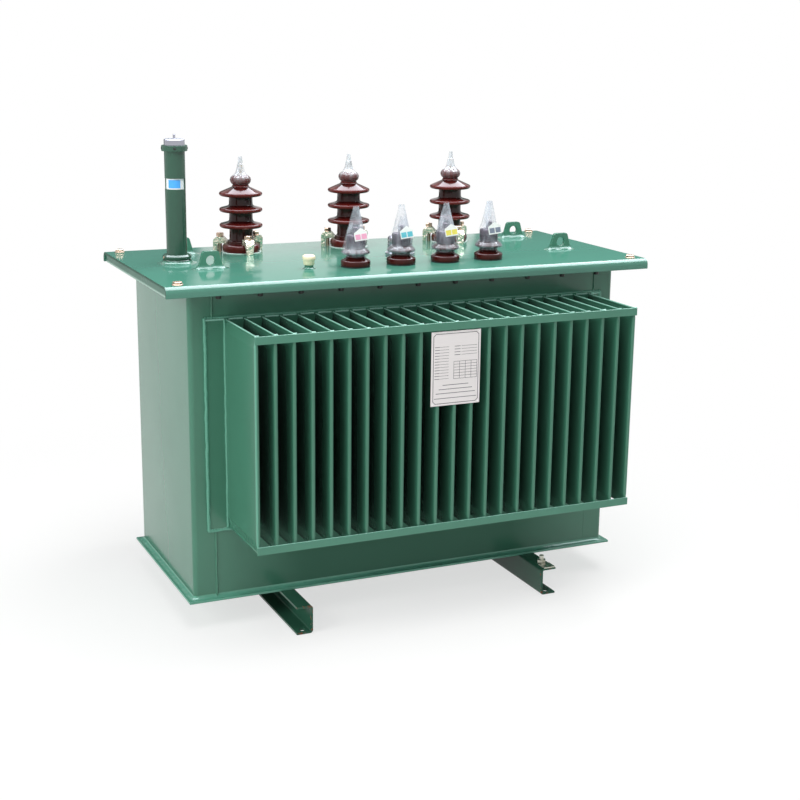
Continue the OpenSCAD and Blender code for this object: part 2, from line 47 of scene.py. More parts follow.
# Camera
# The photographer stood left of the front, 3.8 m off and a little above the bushings,
# with a long lens tipped slightly down.


def stand(name, data):
    """A new object in the scene."""
    piece = bpy.data.objects.new(name, data)
    scene.collection.objects.link(piece)
    return piece


camera_at = Vector((-1.5155, -3.4882, 1.4316))
yaw = radians(24.533)
pitch = radians(-14.165)
roll = radians(0.7086)
ahead = Vector((sin(yaw) * cos(pitch), cos(yaw) * cos(pitch), sin(pitch)))
level = Vector((cos(yaw), -sin(yaw), 0))
above = level.cross(ahead)
image_right = level * cos(roll) + above * sin(roll)
image_up = above * cos(roll) - level * sin(roll)
facing = Matrix((image_right, image_up, -ahead)).transposed().to_4x4()
lens_data = bpy.data.cameras.new("long_lens")
lens_data.sensor_width = 36
lens_data.lens = 65.69
camera = stand("camera", lens_data)
camera.matrix_world = Matrix.Translation(camera_at) @ facing
scene.camera = camera
scene.view_settings.view_transform = "Standard"

# Studio
# White paper floor that runs out into a white surround, one broad soft lamp overhead
# and a weaker one from the left. A bright card above and two grey ones far behind show only
# in the gloss, as a pale sky and the edge of a yard would.


def linear(code):
    """Colour sockets take linear light, so an sRGB hex value is turned into it."""
    parts = [int(code[i:i + 2], 16) / 255 for i in (1, 3, 5)]
    return [p / 12.92 if p <= 0.04045 else ((p + 0.055) / 1.055) ** 2.4 for p in parts] + [1.0]


def add(tree, kind, inputs=None, **settings):
    """Adds a node with its settings, and its sockets set to values or linked."""
    node = tree.nodes.new(kind)
    for key, value in settings.items():
        setattr(node, key, value)
    for key, value in (inputs or {}).items():
        if isinstance(value, bpy.types.NodeSocket):
            tree.links.new(value, node.inputs[key])
        else:
            node.inputs[key].default_value = value
    return node


def sums(tree, operation, *terms, **settings):
    """Works out a value from values and sockets."""
    return add(tree, "ShaderNodeMath", dict(enumerate(terms)), operation=operation, **settings).outputs[0]


def ranged(tree, value, low, high, to_low=0.0, to_high=1.0, **settings):
    """Carries a value from one range over to another and keeps it inside."""
    return add(tree, "ShaderNodeMapRange", {
        "Value": value, "From Min": low, "From Max": high, "To Min": to_low, "To Max": to_high},
        **settings).outputs[0]


def either(tree, share, one, other):
    """Mixes two shaders by a share."""
    return add(tree, "ShaderNodeMixShader", {0: share, 1: one.outputs[0], 2: other.outputs[0]}).outputs[0]


def seen_directly(tree):
    """1 for rays from the lens, from a mirror or through glass, 0 for the light that falls on things."""
    rays = add(tree, "ShaderNodeLightPath").outputs
    seen = sums(tree, "MAXIMUM", rays["Is Camera Ray"], rays["Is Glossy Ray"])
    return sums(tree, "MAXIMUM", seen, rays["Is Transmission Ray"])


def emptied(owner):
    """The node tree of a material or world, without its first nodes."""
    owner.use_nodes = True
    owner.node_tree.nodes.clear()
    return owner.node_tree


scene.world = bpy.data.worlds.new("white_surround")
tree = emptied(scene.world)
fill_light = add(tree, "ShaderNodeBackground", {"Color": linear("#F2F6FA"), "Strength": 0.39})
white_wall = add(tree, "ShaderNodeBackground", {"Color": linear("#FFFFFF"), "Strength": 1.0})
add(tree, "ShaderNodeOutputWorld", {0: either(tree, seen_directly(tree), fill_light, white_wall)})


def sheet_of(name, low, high):
    """Flat sheet of the studio between two opposite corners."""
    mesh = bpy.data.meshes.new(name)
    mesh.from_pydata([low, (high[0], *low[1:]), high, (low[0], *high[1:])], [], [(0, 1, 2, 3)])
    piece = stand(name, mesh)
    return piece


# Paper: matt and white, with soft contact shadows that fade out 2 m from the middle.
floor_half = 9.0
floor_z = -0.0005
shadow_from, shadow_to = 0.7, 1.9
paper_floor = sheet_of("paper_floor", (-floor_half, -floor_half, floor_z),
                       (floor_half, floor_half, floor_z))
paper = bpy.data.materials.new("white_paper")
tree = emptied(paper)
place = add(tree, "ShaderNodeTexCoord").outputs["Object"]
reach = add(tree, "ShaderNodeVectorMath", {0: place}, operation="LENGTH").outputs["Value"]
away = ranged(tree, reach, shadow_from, shadow_to, 0.66, 1.0, interpolation_type="SMOOTHSTEP")
lit_up = sums(tree, "MULTIPLY", away, seen_directly(tree))
matte = add(tree, "ShaderNodeBsdfDiffuse", {"Color": linear("#F3F3F1")})
glow = add(tree, "ShaderNodeEmission", {"Color": linear("#FFFFFF"), "Strength": 1.0})
add(tree, "ShaderNodeOutputMaterial", {0: either(tree, lit_up, matte, glow)})
paper_floor.data.materials.append(paper)


def hide_from(piece, *rays):
    """Keeps a piece of the studio out of some kinds of rays."""
    for kind in rays:
        setattr(piece, "visible_" + kind, False)


def gloss_card(name, code, strength, low, high):
    """A card that neither lights things nor is seen, and shows only as a reflection."""
    card = sheet_of(name, low, high)
    hide_from(card, "camera", "diffuse", "transmission", "shadow")
    material = bpy.data.materials.new(name)
    tree = emptied(material)
    glow = add(tree, "ShaderNodeEmission", {"Color": linear(code), "Strength": strength})
    add(tree, "ShaderNodeOutputMaterial", {0: glow.outputs[0]})
    card.data.materials.append(material)


gloss_card("sky_card", "#F0F6FF", 12.0, (-2.4, -1.6, 3.6), (3.2, 2.6, 3.6))
gloss_card("left_grey_card", "#6F8580", 1.0, (-5.0, 8.0, 0.0), (1.9, 8.0, 4.0))
gloss_card("right_grey_card", "#6F8580", 1.0, (4.4, 8.0, 0.0), (10.0, 8.0, 4.0))

aimed_at = Vector((0, 0, 0.5))
for name, at, length, width, power in (("sky_lamp", (0.4, -0.4, 3.4), 5.0, 1.8, 140),
                                       ("left_lamp", (-3.9, -1.3, 2.2), 2.2, 2.2, 95)):
    lamp_data = bpy.data.lights.new(name, "AREA")
    lamp_data.shape = "RECTANGLE"
    lamp_data.size = length
    lamp_data.size_y = width
    lamp_data.energy = power
    lamp = stand(name, lamp_data)
    toward = aimed_at - Vector(at)
    lamp.matrix_world = Matrix.Translation(at) @ toward.to_track_quat("-Z", "Y").to_matrix().to_4x4()
    hide_from(lamp, "camera", "glossy")

# Base channels
# Two channels folded from 5 mm steel plate, backs to the middle and flanges turned out,
# with a foundation hole at each end. Dipped in the tank's green and chipped at the ends.

mm = 0.001


def finish(name, **sockets):
    """A new material with one surface shader, its plain values set on the sockets."""
    material = bpy.data.materials.new(name)
    material.use_nodes = True
    shader = material.node_tree.nodes["Principled BSDF"]
    for socket, value in sockets.items():
        shader.inputs[socket.replace("_", " ")].default_value = value
    return material, material.node_tree, shader


def drive(shader, **sockets):
    """Links sockets of a shader to the nodes that drive them."""
    for socket, source in sockets.items():
        shader.id_data.links.new(source, shader.inputs[socket.replace("_", " ")])


def clouds_of(tree, place, patch, detail):
    """Noise in patches of so many millimetres."""
    return add(tree, "ShaderNodeTexNoise", {
        "Vector": place, "Scale": 1 / (patch * mm), "Detail": detail}).outputs["Fac"]


def blend(tree, share, one, other):
    """Mixes two colours by a share; the first is a hex value or a socket, the second a hex value."""
    first = linear(one) if isinstance(one, str) else one
    return add(tree, "ShaderNodeMix", {"Factor": share, 6: first, 7: linear(other)},
               data_type="RGBA").outputs[2]


def bumped(tree, height, depth, strength=1.0):
    """Relief of so many millimetres from a height between 0 and 1."""
    return add(tree, "ShaderNodeBump", {
        "Height": height, "Strength": strength, "Distance": depth * mm}).outputs[0]


def uneven(tree, share, gloss):
    """Roughness that swings about its mean by two fifths."""
    return ranged(tree, share, 0, 1, 0.6 * gloss, 1.4 * gloss)


cloud_patch, wave_patch, speck_patch = 180, 45, 9
rust_reach = 26 * mm


def enamel(name, green, deep_green, rust_from=None, index=1.5, gloss=0.13):
    """Sprayed gloss enamel on steel: faint colour clouds, a slow waviness in its mirror and, where
    rust_from gives the distance from the middle in Y, rust where the coat is thin at the ends."""
    material, tree, shader = finish(name, IOR=index)
    place = add(tree, "ShaderNodeTexCoord").outputs["Object"]
    clouds = clouds_of(tree, place, cloud_patch, 4)
    dull = uneven(tree, clouds, gloss)
    colour = blend(tree, clouds, green, deep_green)
    if rust_from:
        axes = add(tree, "ShaderNodeSeparateXYZ", {0: place}).outputs
        off_middle = sums(tree, "ABSOLUTE", axes["Y"])
        near_end = ranged(tree, off_middle, rust_from, rust_from + rust_reach, 0, 0.31)
        worn = sums(tree, "ADD", near_end, clouds_of(tree, place, speck_patch, 5))
        bare = ranged(tree, worn, 0.83, 0.89)
        colour = blend(tree, bare, colour, "#6E4630")
        dull = ranged(tree, bare, 0, 1, 0.16, 0.7)
    waves = bumped(tree, clouds_of(tree, place, wave_patch, 2), 1.5, 0.12)
    drive(shader, Base_Color=colour, Roughness=dull, Normal=waves)
    return material


def hand_over(piece, slot, *nodes):
    """The piece moves with the body and stands for the CAD pieces, which it hides; slot is not used."""
    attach(piece, "root")
    if nodes:
        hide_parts(*nodes)


def dressed(node, edge, material, slot="green_paint"):
    """A copy of a CAD piece with joined corners and its sharp edges broken by edge millimetres."""
    same_place = 0.002 * mm
    flat, crisp, square = (radians(angle) for angle in (0.5, 32, 40))
    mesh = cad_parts[node].data.copy()
    shape = bmesh.new()
    shape.from_mesh(mesh)
    bmesh.ops.remove_doubles(shape, verts=shape.verts, dist=same_place)
    bmesh.ops.dissolve_limit(shape, angle_limit=flat, verts=shape.verts, edges=shape.edges)
    shape.to_mesh(mesh)
    shape.free()
    mesh.materials.clear()
    mesh.materials.append(material)
    mesh.shade_smooth()
    mesh.set_sharp_from_angle(angle=crisp)
    piece = stand(node + "_piece", mesh)
    bevel = piece.modifiers.new("broken_edges", "BEVEL")
    bevel.width = edge * mm
    bevel.segments = 2
    bevel.limit_method = "ANGLE"
    bevel.angle_limit = square
    bevel.harden_normals = True
    hand_over(piece, slot, node)
    return piece


# Gloss enamel: mid green, faintly cloudy, with a soft wavy mirror.
green_enamel = enamel("gloss_green_enamel", "#437A64", "#3B6F5A", gloss=0.2)
# Dipped enamel: darker and flatter, with brown specks of rust at the ends.
rust_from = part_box("base_channel_right")[1][1] - 24 * mm
channel_enamel = enamel("chipped_green_enamel", "#315F4C", "#2A5342", rust_from, index=1.3)
for node in ("base_channel_left", "base_channel_right"):
    dressed(node, 0.8, channel_enamel)

# Earthing pad
# A bare plated pad at the front end of the right channel with its bolt and nut,
# left unpainted so that the earth strap makes contact.


def mottled(name, one, other, patch, relief, gloss, stretch=(1, 1, 1), **sockets):
    """Surface that drifts between two tones, duller in one than in the other, in patches of so many
    millimetres and with a relief of so many; stretch below 1 draws the patches out along an axis."""
    material, tree, shader = finish(name, **sockets)
    place = add(tree, "ShaderNodeTexCoord").outputs["Object"]
    drawn = add(tree, "ShaderNodeMapping", {"Vector": place, "Scale": stretch}).outputs[0]
    drift = clouds_of(tree, drawn, patch, 4)
    drive(shader, Base_Color=blend(tree, drift, one, other), Roughness=uneven(tree, drift, gloss),
          Normal=bumped(tree, drift, relief))
    return material


# Zinc plate: bright grey with yellowish clouds, half sharp in its mirror.
bare_plate = mottled("bright_zinc_plate", "#D6D8D2", "#A9A894", 14, 0.05, 0.3, Metallic=1.0)
dressed("earth_terminal", 0.6, bare_plate, "zinc_plate")

# Base plate
# A 6 mm plate under the whole tank, welded to both channels, with a fillet weld
# run round the foot of the walls.

# Edge enamel: a lighter green as painted highlight, on the base plate, on free edges and on welds, where
# they catch the sky.
highlight_edge_enamel = enamel("painted_highlight_edge_enamel", "#5C9B85", "#528F79", gloss=0.2)
dressed("base_plate", 1.2, highlight_edge_enamel)


def grown(name, mesh, tree, values):
    """Runs a node tree on a mesh with its named inputs set, and keeps the result as a plain mesh."""
    piece = stand(name, mesh)
    modifier = piece.modifiers.new(tree.name, "NODES")
    modifier.node_group = tree
    for socket in tree.interface.items_tree:
        if socket.name in values:
            modifier[socket.identifier] = values[socket.name]
    evaluated = piece.evaluated_get(bpy.context.evaluated_depsgraph_get())
    result = bpy.data.meshes.new_from_object(evaluated)
    piece.modifiers.clear()
    piece.data = result
    return piece


def node_tree(name, *named_inputs):
    """An empty geometry tree with its inputs, and the sockets that give them."""
    tree = bpy.data.node_groups.new(name, "GeometryNodeTree")
    for label, kind in (("Geometry", "Geometry"), *named_inputs):
        tree.interface.new_socket(label, in_out="INPUT", socket_type="NodeSocket" + kind)
    tree.interface.new_socket("Geometry", in_out="OUTPUT", socket_type="NodeSocketGeometry")
    return tree, add(tree, "NodeGroupInput").outputs


def coated(tree, geometry, paint):
    """Turns instances into plain mesh and gives it its material."""
    solid = add(tree, "GeometryNodeRealizeInstances", {"Geometry": geometry}).outputs[0]
    return add(tree, "GeometryNodeSetMaterial", {"Geometry": solid, "Material": paint}).outputs[0]


# A bead swells once for each step of the torch and wanders a little, so it is drawn
# along its path as a tube of changing radius, half sunk in the joint.
swelling = 0.13
bead_lump = 22 * mm
tree, given = node_tree("weld_bead", ("Radius", "Float"), ("Ripple", "Float"), ("Paint", "Material"))
bead_tree = tree
path = add(tree, "GeometryNodeMeshToCurve", {"Mesh": given["Geometry"]}).outputs[0]
third = sums(tree, "DIVIDE", given["Ripple"], 3.0)
even = add(tree, "GeometryNodeResampleCurve", {"Curve": path, "Length": third}, mode="LENGTH").outputs[0]
along = add(tree, "GeometryNodeSplineParameter").outputs["Length"]
steps = sums(tree, "DIVIDE", along, given["Ripple"])
wave = sums(tree, "SINE", sums(tree, "MULTIPLY", steps, 2 * pi))
swell = sums(tree, "MULTIPLY_ADD", wave, swelling, 1.0)
ring = add(tree, "GeometryNodeCurvePrimitiveCircle", {
    "Resolution": 10, "Radius": given["Radius"]}, mode="RADIUS").outputs[0]
tube = add(tree, "GeometryNodeCurveToMesh", {
    "Curve": even, "Profile Curve": ring, "Scale": swell, "Fill Caps": True}).outputs[0]
lumps = add(tree, "ShaderNodeTexNoise", {"Scale": 1 / bead_lump, "Detail": 2.0}).outputs["Color"]
centred = add(tree, "ShaderNodeVectorMath", {
    0: lumps, 1: (0.5, 0.5, 0.5)}, operation="SUBTRACT").outputs[0]
wander = add(tree, "ShaderNodeVectorMath", {
    0: centred, "Scale": given["Radius"]}, operation="SCALE").outputs[0]
moved = add(tree, "GeometryNodeSetPosition", {"Geometry": tube, "Offset": wander}).outputs[0]
smooth = add(tree, "GeometryNodeSetShadeSmooth", {"Geometry": moved}).outputs[0]
add(tree, "NodeGroupOutput", {"Geometry": coated(tree, smooth, given["Paint"])})


# Beads take the painted highlight of the edge enamel unless another paint is given.
def weld(name, paths, radius, paint=highlight_edge_enamel, ripple=7):
    """Weld beads of that radius in millimetres along open paths, with a ripple every so many."""
    points = []
    edges = []
    for path in paths:
        start = len(points)
        points += path
        edges += [(start + i, start + i + 1) for i in range(len(path) - 1)]
    mesh = bpy.data.meshes.new(name)
    mesh.from_pydata(points, edges, [])
    piece = grown(name, mesh, bead_tree, {"Radius": radius * mm, "Ripple": ripple * mm, "Paint": paint})
    hand_over(piece, "green_paint")


def ring_path(half_l, half_w, z, corner, middle=(0, 0)):
    """Level rectangle with round corners about a middle."""
    corner_steps = 4
    path = []
    for quarter, (sx, sy) in enumerate(((1, 1), (-1, 1), (-1, -1), (1, -1))):
        for k in range(corner_steps + 1):
            turn = radians(90 * (quarter + k / corner_steps))
            path.append(Vector((middle[0] + sx * (half_l - corner) + corner * cos(turn),
                                middle[1] + sy * (half_w - corner) + corner * sin(turn), z)))
    return path


def skin(rows, width, rows_close=False, width_closes=True, flipped=False):
    """Faces between neighbouring rows of points; the last row, or the end of each, may join the first."""
    faces = []
    for r in range(rows if rows_close else rows - 1):
        low, high = r * width, (r + 1) % rows * width
        for i in range(width if width_closes else width - 1):
            j = (i + 1) % width
            if flipped:
                faces.append((low + i, high + i, high + j, low + j))
            else:
                faces.append((low + i, low + j, high + j, high + i))
    return faces


def joined(name, shapes, sharp):
    """Smooth mesh of shapes, each its points and its faces; edges above that angle stay crisp."""
    points = []
    faces = []
    for shape_points, shape_faces in shapes:
        start = len(points)
        points += shape_points
        faces += [[start + i for i in face] for face in shape_faces]
    mesh = bpy.data.meshes.new(name)
    mesh.from_pydata(points, [], faces)
    mesh.shade_smooth()
    mesh.set_sharp_from_angle(angle=radians(sharp))
    return mesh


def made(name, shapes, material, slot, *nodes, sharp=35):
    """Joins shapes into one piece, which may stand for CAD pieces."""
    piece = stand(name, joined(name, shapes, sharp))
    piece.data.materials.append(material)
    hand_over(piece, slot, *nodes)
    return piece


def fillet(name, corners, reach, rise, paint):
    """Hollow weld skirt round a closed level path, sizes in millimetres, its edge wandering by a third."""
    ring_step = 3 * mm
    waver = 9 * mm
    overlap = 1.5
    sunk = 0.5
    ring = []
    for a, b in zip(corners, corners[1:] + corners[:1]):
        steps = max(1, round((b - a).length / ring_step))
        ring += [a.lerp(b, k / steps) for k in range(steps)]
    count = len(ring)
    profile = [(-overlap, -sunk), (-overlap, rise)]
    for out, up in ((0, 1), (0.08, 0.66), (0.25, 0.38), (0.5, 0.17), (0.8, 0.05), (1, 0)):
        profile.append((out * reach, up * rise))
    profile.append((reach, -sunk))
    points = []
    for out, up in profile:
        for i, foot in enumerate(ring):
            outward = (ring[(i + 1) % count] - ring[i - 1]).cross(Vector((0, 0, 1))).normalized()
            wander = 1 + 0.33 * noise.noise(foot / waver)
            points.append(tuple(foot + outward * out * wander * mm + Vector((0, 0, up * mm))))
    faces = skin(len(profile), count, rows_close=True, flipped=True)
    made(name, [(points, faces)], paint, "green_paint", sharp=60)


tank_half_l, tank_half_w, wall_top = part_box("right_end_wall")[1]
foot_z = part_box("base_plate")[1][2]
# The foot weld takes the edge enamel's painted highlight.
fillet("tank_foot_weld", ring_path(tank_half_l, tank_half_w, foot_z, 12 * mm), 10, 8, highlight_edge_enamel)

# Tank walls
# The 4 mm end plates are folded round the corners and meet the strips of the long
# sides in a vertical seam, ground flush at the lower right. The fin panel is lapped over
# them and welded all round.


def share_along(material, axis, start, end, most=1.0):
    """Share that grows from 0 to most between two places on an axis, alike on both sides of the middle."""
    tree = material.node_tree
    place = add(tree, "ShaderNodeTexCoord").outputs["Object"]
    axes = add(tree, "ShaderNodeSeparateXYZ", {0: place}).outputs
    return ranged(tree, sums(tree, "ABSOLUTE", axes[axis]), start, end, 0, most)


def tinted(material, share, code, mirror_left=1.0):
    """Draws a material's colour towards another one by a share, and its mirror down to what is left."""
    tree = material.node_tree
    shader = tree.nodes["Principled BSDF"]
    plain = shader.inputs["Base Color"].links[0].from_socket
    drive(shader, Base_Color=blend(tree, share, plain, code))
    if mirror_left < 1.0:
        full = shader.inputs["Specular IOR Level"].default_value
        drive(shader, Specular_IOR_Level=ranged(tree, share, 0, 1, full, full * mirror_left))


# Low strips: painted shade under the fins, darker and with less mirror in the middle, lighter again
# towards both ends.
low_strip_shade_enamel = enamel("low_strip_painted_shade_enamel", "#437A64", "#3B6F5A", gloss=0.2)
unshaded_x, full_shade_x = 0.52, 0.3
tinted(low_strip_shade_enamel, share_along(low_strip_shade_enamel, "X", unshaded_x, full_shade_x, 0.8), "#315D4B", 0.14)
for node in ("left_end_wall", "right_end_wall", "front_upper_strip", "back_upper_strip",
             "front_lower_strip", "back_lower_strip", "front_fin_panel", "back_fin_panel"):
    dressed(node, 0.6, low_strip_shade_enamel if "lower" in node else green_enamel)
panel_low, panel_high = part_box("front_fin_panel")
seam_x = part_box("front_upper_strip")[1][0]
lap_out = 1.5 * mm
for side, name in ((-1, "front"), (1, "back")):
    face_y = side * tank_half_w
    seams = [[(x, face_y, z) for z in ends] for x, ends in (
        (-seam_x, (panel_high[2], wall_top)), (seam_x, (panel_high[2], wall_top)),
        (-seam_x, (foot_z, panel_low[2])))]
    weld(name + "_seam_welds", seams, 3, green_enamel)
    # The lap welds round the panel take the edge enamel's painted highlight.
    left, right = panel_low[0], panel_high[0]
    lap_path = [(x, face_y + side * lap_out, z) for x, z in (
        (left, panel_high[2]), (left, panel_low[2]), (right, panel_low[2]), (right, panel_high[2]))]
    weld(name + "_panel_side_welds", [lap_path], 4.5)

# Corrugated fins
# One long sheet folded into deep flat fins. Each fin is pinched shut at its upper and
# lower edge and seam welded there, and its nose is the round outside of the fold.

fins_low, fins_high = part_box("front_fins")
fin_t = 9.5 * mm
fin_edge_t = 3 * mm
fin_pinch = 28 * mm
fin_seam = 6 * mm
fin_seam_bulge = 1.1 * mm
fin_seam_top = 0.8 * mm
fin_pitch = 45.2 * mm
fin_h = fins_high[2] - fins_low[2]
fin_depth = fins_high[1] - fins_low[1]
fin_count = round((fins_high[0] - fins_low[0] - fin_t) / fin_pitch) + 1


def fin_half_width(z):
    """Half thickness of a fin at a height above its lower edge: full, with an eased pinch at both ends."""
    from_end = min(z, fin_h - z)
    ease = min(1.0, max(0.0, from_end - fin_seam) / (fin_pinch - fin_seam))
    seam = max(0.0, 1 - abs(2 * from_end / fin_seam - 1)) * fin_seam_bulge
    return fin_edge_t / 2 + (fin_t - fin_edge_t) / 2 * ease + seam


def fin_mesh():
    """One fin at the origin, root on the panel and nose to the front, its top edge marked as seam."""
    pinch_rows = [row * mm for row in (0, 1.2, 3, 4.8, 6, 7.5, 26, 28, 30)]
    flank_rows = [fin_h * k / 6 for k in range(1, 6)]
    nose_steps = 10
    nose_start = 3 * mm
    levels = pinch_rows + flank_rows + [fin_h - row for row in reversed(pinch_rows)]
    points = []
    for z in levels:
        half = fin_half_width(z)
        shoulder = half + nose_start - fin_depth
        points += [(-half, 0, z), (-half, shoulder, z)]
        for k in range(nose_steps + 1):
            turn = pi + pi * k / nose_steps
            points.append((half * cos(turn), half - fin_depth + half * sin(turn), z))
        points += [(half, shoulder, z), (half, 0, z)]
    width = len(points) // len(levels)
    bottom = tuple(reversed(range(width)))
    top = tuple(range(len(points) - width, len(points)))
    mesh = joined("fin", [(points, skin(len(levels), width) + [bottom, top])], 50)
    on_seam = mesh.attributes.new("seam", "BOOLEAN", "FACE")
    for face, mark in zip(mesh.polygons, on_seam.data):
        mark.value = face.center.z > fin_h - fin_seam_top
    return mesh


tree, given = node_tree("row_of_fins", ("Fin", "Object"), ("Count", "Int"), ("First", "Vector"),
                        ("Pitch", "Vector"), ("Turn", "Float"), ("Paint", "Material"),
                        ("Seam paint", "Material"))
fin_tree = tree
feet = add(tree, "GeometryNodeMeshLine", {
    "Count": given["Count"], "Start Location": given["First"], "Offset": given["Pitch"]})
one_fin = add(tree, "GeometryNodeObjectInfo", {"Object": given["Fin"], "As Instance": True})
upright = add(tree, "FunctionNodeAxisAngleToRotation", {"Axis": (0, 0, 1), "Angle": given["Turn"]})
row = add(tree, "GeometryNodeInstanceOnPoints", {
    "Points": feet.outputs[0], "Instance": one_fin.outputs["Geometry"], "Rotation": upright.outputs[0]})
seam = add(tree, "GeometryNodeInputNamedAttribute", {"Name": "seam"}, data_type="BOOLEAN")
edged = add(tree, "GeometryNodeSetMaterial", {
    "Geometry": coated(tree, row.outputs[0], given["Paint"]), "Selection": seam.outputs[0],
    "Material": given["Seam paint"]})
add(tree, "NodeGroupOutput", {"Geometry": edged.outputs[0]})

# Fin enamel: painted shade, nearly black at the bottom of the gaps between the fins and fading out towards
# the noses and the open top.
fin_gap_shade_enamel = enamel("fin_enamel_painted_gap_shade", "#437A64", "#3B6F5A", gloss=0.2)
deep = add(fin_gap_shade_enamel.node_tree, "ShaderNodeAttribute", attribute_name="deep").outputs["Fac"]
tinted(fin_gap_shade_enamel, ranged(fin_gap_shade_enamel.node_tree, deep, 0.05, 0.34, 0, 0.9), "#222624")
# Painted highlight: the palest green, on the fin seams, the top welds, the bar tops and the tacks, where
# they catch the sky.
sky_highlight_enamel = enamel("painted_highlight_enamel", "#8FC3B2", "#7FB5A3", gloss=0.25)


def mark_gap_shade(mesh):
    """Notes on each point how much painted shade it takes, more the farther it lies behind the noses
    and below the open top; the outer sides of the row take none."""
    light_reach = 110 * mm
    left = min(point.co.x for point in mesh.vertices) + fin_t / 2
    right = max(point.co.x for point in mesh.vertices) - fin_t / 2
    deepness = mesh.attributes.new("deep", "FLOAT", "POINT")
    for point, value in zip(mesh.vertices, deepness.data):
        inside = left < point.co.x < right
        below_top = min(1.0, 0.2 + (fins_high[2] - point.co.z) / light_reach)
        value.value = inside * below_top * (-fins_low[1] - abs(point.co.y)) / fin_depth


fin_pattern = stand("fin_pattern", fin_mesh())
bead_gap = 5.5 * mm
bead_y = -panel_low[1]
bead_z = panel_high[2] - 4.5 * mm
for side, name, turn in ((-1, "front", 0.0), (1, "back", pi)):
    row_low, row_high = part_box(name + "_fins")
    first_fin_x = row_low[0] + fin_t / 2
    # The fin seams on top take the painted highlight.
    fins = grown(name + "_fin_row", bpy.data.meshes.new(name + "_fin_row"), fin_tree, {
        "Fin": fin_pattern, "Count": fin_count, "First": (first_fin_x, -side * fins_high[1], fins_low[2]),
        "Pitch": (fin_pitch, 0, 0), "Turn": turn, "Paint": fin_gap_shade_enamel, "Seam paint": sky_highlight_enamel})
    mark_gap_shade(fins.data)
    # The folds at both ends of the row take the lighter edge enamel on their outer sides, as painted
    # highlight.
    fins.data.materials.append(highlight_edge_enamel)
    for face in fins.data.polygons:
        on_nose = abs(face.center.y) > -fins_low[1] - fin_t / 2
        at_end = not row_low[0] + fin_t / 2 <= face.center.x <= row_high[0] - fin_t / 2
        if on_nose and at_end and abs(face.normal.x) > 0.3:
            face.material_index = len(fins.data.materials) - 1
    hand_over(fins, "green_paint", name + "_fins")
    # The welds along the panel top take the painted highlight.
    top_beads = []
    for i in range(fin_count + 1):
        start = first_fin_x + (i - 1) * fin_pitch + bead_gap if i else panel_low[0]
        end = first_fin_x + i * fin_pitch - bead_gap if i < fin_count else panel_high[0]
        top_beads.append([(start, side * bead_y, bead_z), (end, side * bead_y, bead_z)])
    weld(name + "_panel_top_welds", top_beads, 2.4, sky_highlight_enamel)
    # The lap weld and the fold lines at the row's ends take the edge enamel's painted highlight.
    lap = [(x, side * tank_half_w, panel_high[2]) for x in (panel_low[0], panel_high[0])]
    end_folds = [[(x, side * bead_y, z) for z in (fins_low[2], fins_high[2])]
                 for x in (row_low[0], row_high[0])]
    weld(name + "_panel_lap_weld", [lap] + end_folds, 3.5)
bpy.data.objects.remove(fin_pattern)

# Fin bars and nameplate
# Two flat bars are tacked across the fin noses to stiffen each wall. The pale nameplate on
# the front is left without wording: only its frame line and ruled cells are printed.

# Bar enamel: the same green, a little lighter and fuller, on the fin bars and the lugs.
bar_enamel = enamel("bar_green_enamel", "#4A8670", "#427A64", gloss=0.2)
tack_half = 4.5 * mm
for side, name in ((-1, "front"), (1, "back")):
    bar_mesh = dressed(name + "_fin_bars", 0.8, bar_enamel).data
    # The bars' top faces take the painted highlight.
    bar_mesh.materials.append(sky_highlight_enamel)
    for face in bar_mesh.polygons:
        face.material_index = face.normal.z > 0.9
    bar_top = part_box(name + "_fin_bars")[1][2]
    first_fin_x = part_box(name + "_fins")[0][0] + fin_t / 2
    nose_y = -side * fins_low[1]
    tacks = []
    for i in range(fin_count):
        x = first_fin_x + i * fin_pitch
        tacks.append([(x - tack_half, nose_y, bar_top), (x + tack_half, nose_y, bar_top)])
    # The tacks on the bars take the painted highlight.
    weld(name + "_bar_tacks", tacks, 2.2, sky_highlight_enamel, ripple=4)

plate_low, plate_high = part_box("nameplate")
# Printed aluminium: satin, with the faint lengthwise streaks of rolled sheet.
pale_plate = mottled("printed_aluminium", "#E9E4E3", "#E1DCDB", 2, 0.02, 0.42, (0.05, 1, 1), Metallic=0.15)
# Screen print: matt, a little uneven where the ink lies thin.
ink = mottled("dark_print", "#343136", "#48454A", 4, 0.02, 0.6)
dressed("nameplate", 0.4, pale_plate, "aluminium")
ink_y = (plate_low[1] - 0.12 * mm, plate_low[1] + 0.1 * mm)


def ruled(x0, z0, x1, z1, width):
    """Printed line between two places on the plate, in millimetres from its lower left corner."""
    along = Vector((x1 - x0, 0, z1 - z0)).normalized() * width / 2
    beside = Vector((-along.z, 0, along.x))
    ends = (Vector((x0, 0, z0)) - along, Vector((x1, 0, z1)) + along)
    corners = (ends[0] - beside, ends[1] - beside, ends[1] + beside, ends[0] + beside)
    points = [(plate_low[0] + c.x * mm, y, plate_low[2] + c.z * mm) for y in ink_y for c in corners]
    return points, [(0, 1, 2, 3), (7, 6, 5, 4), (0, 4, 5, 1), (1, 5, 6, 2), (2, 6, 7, 3), (3, 7, 4, 0)]


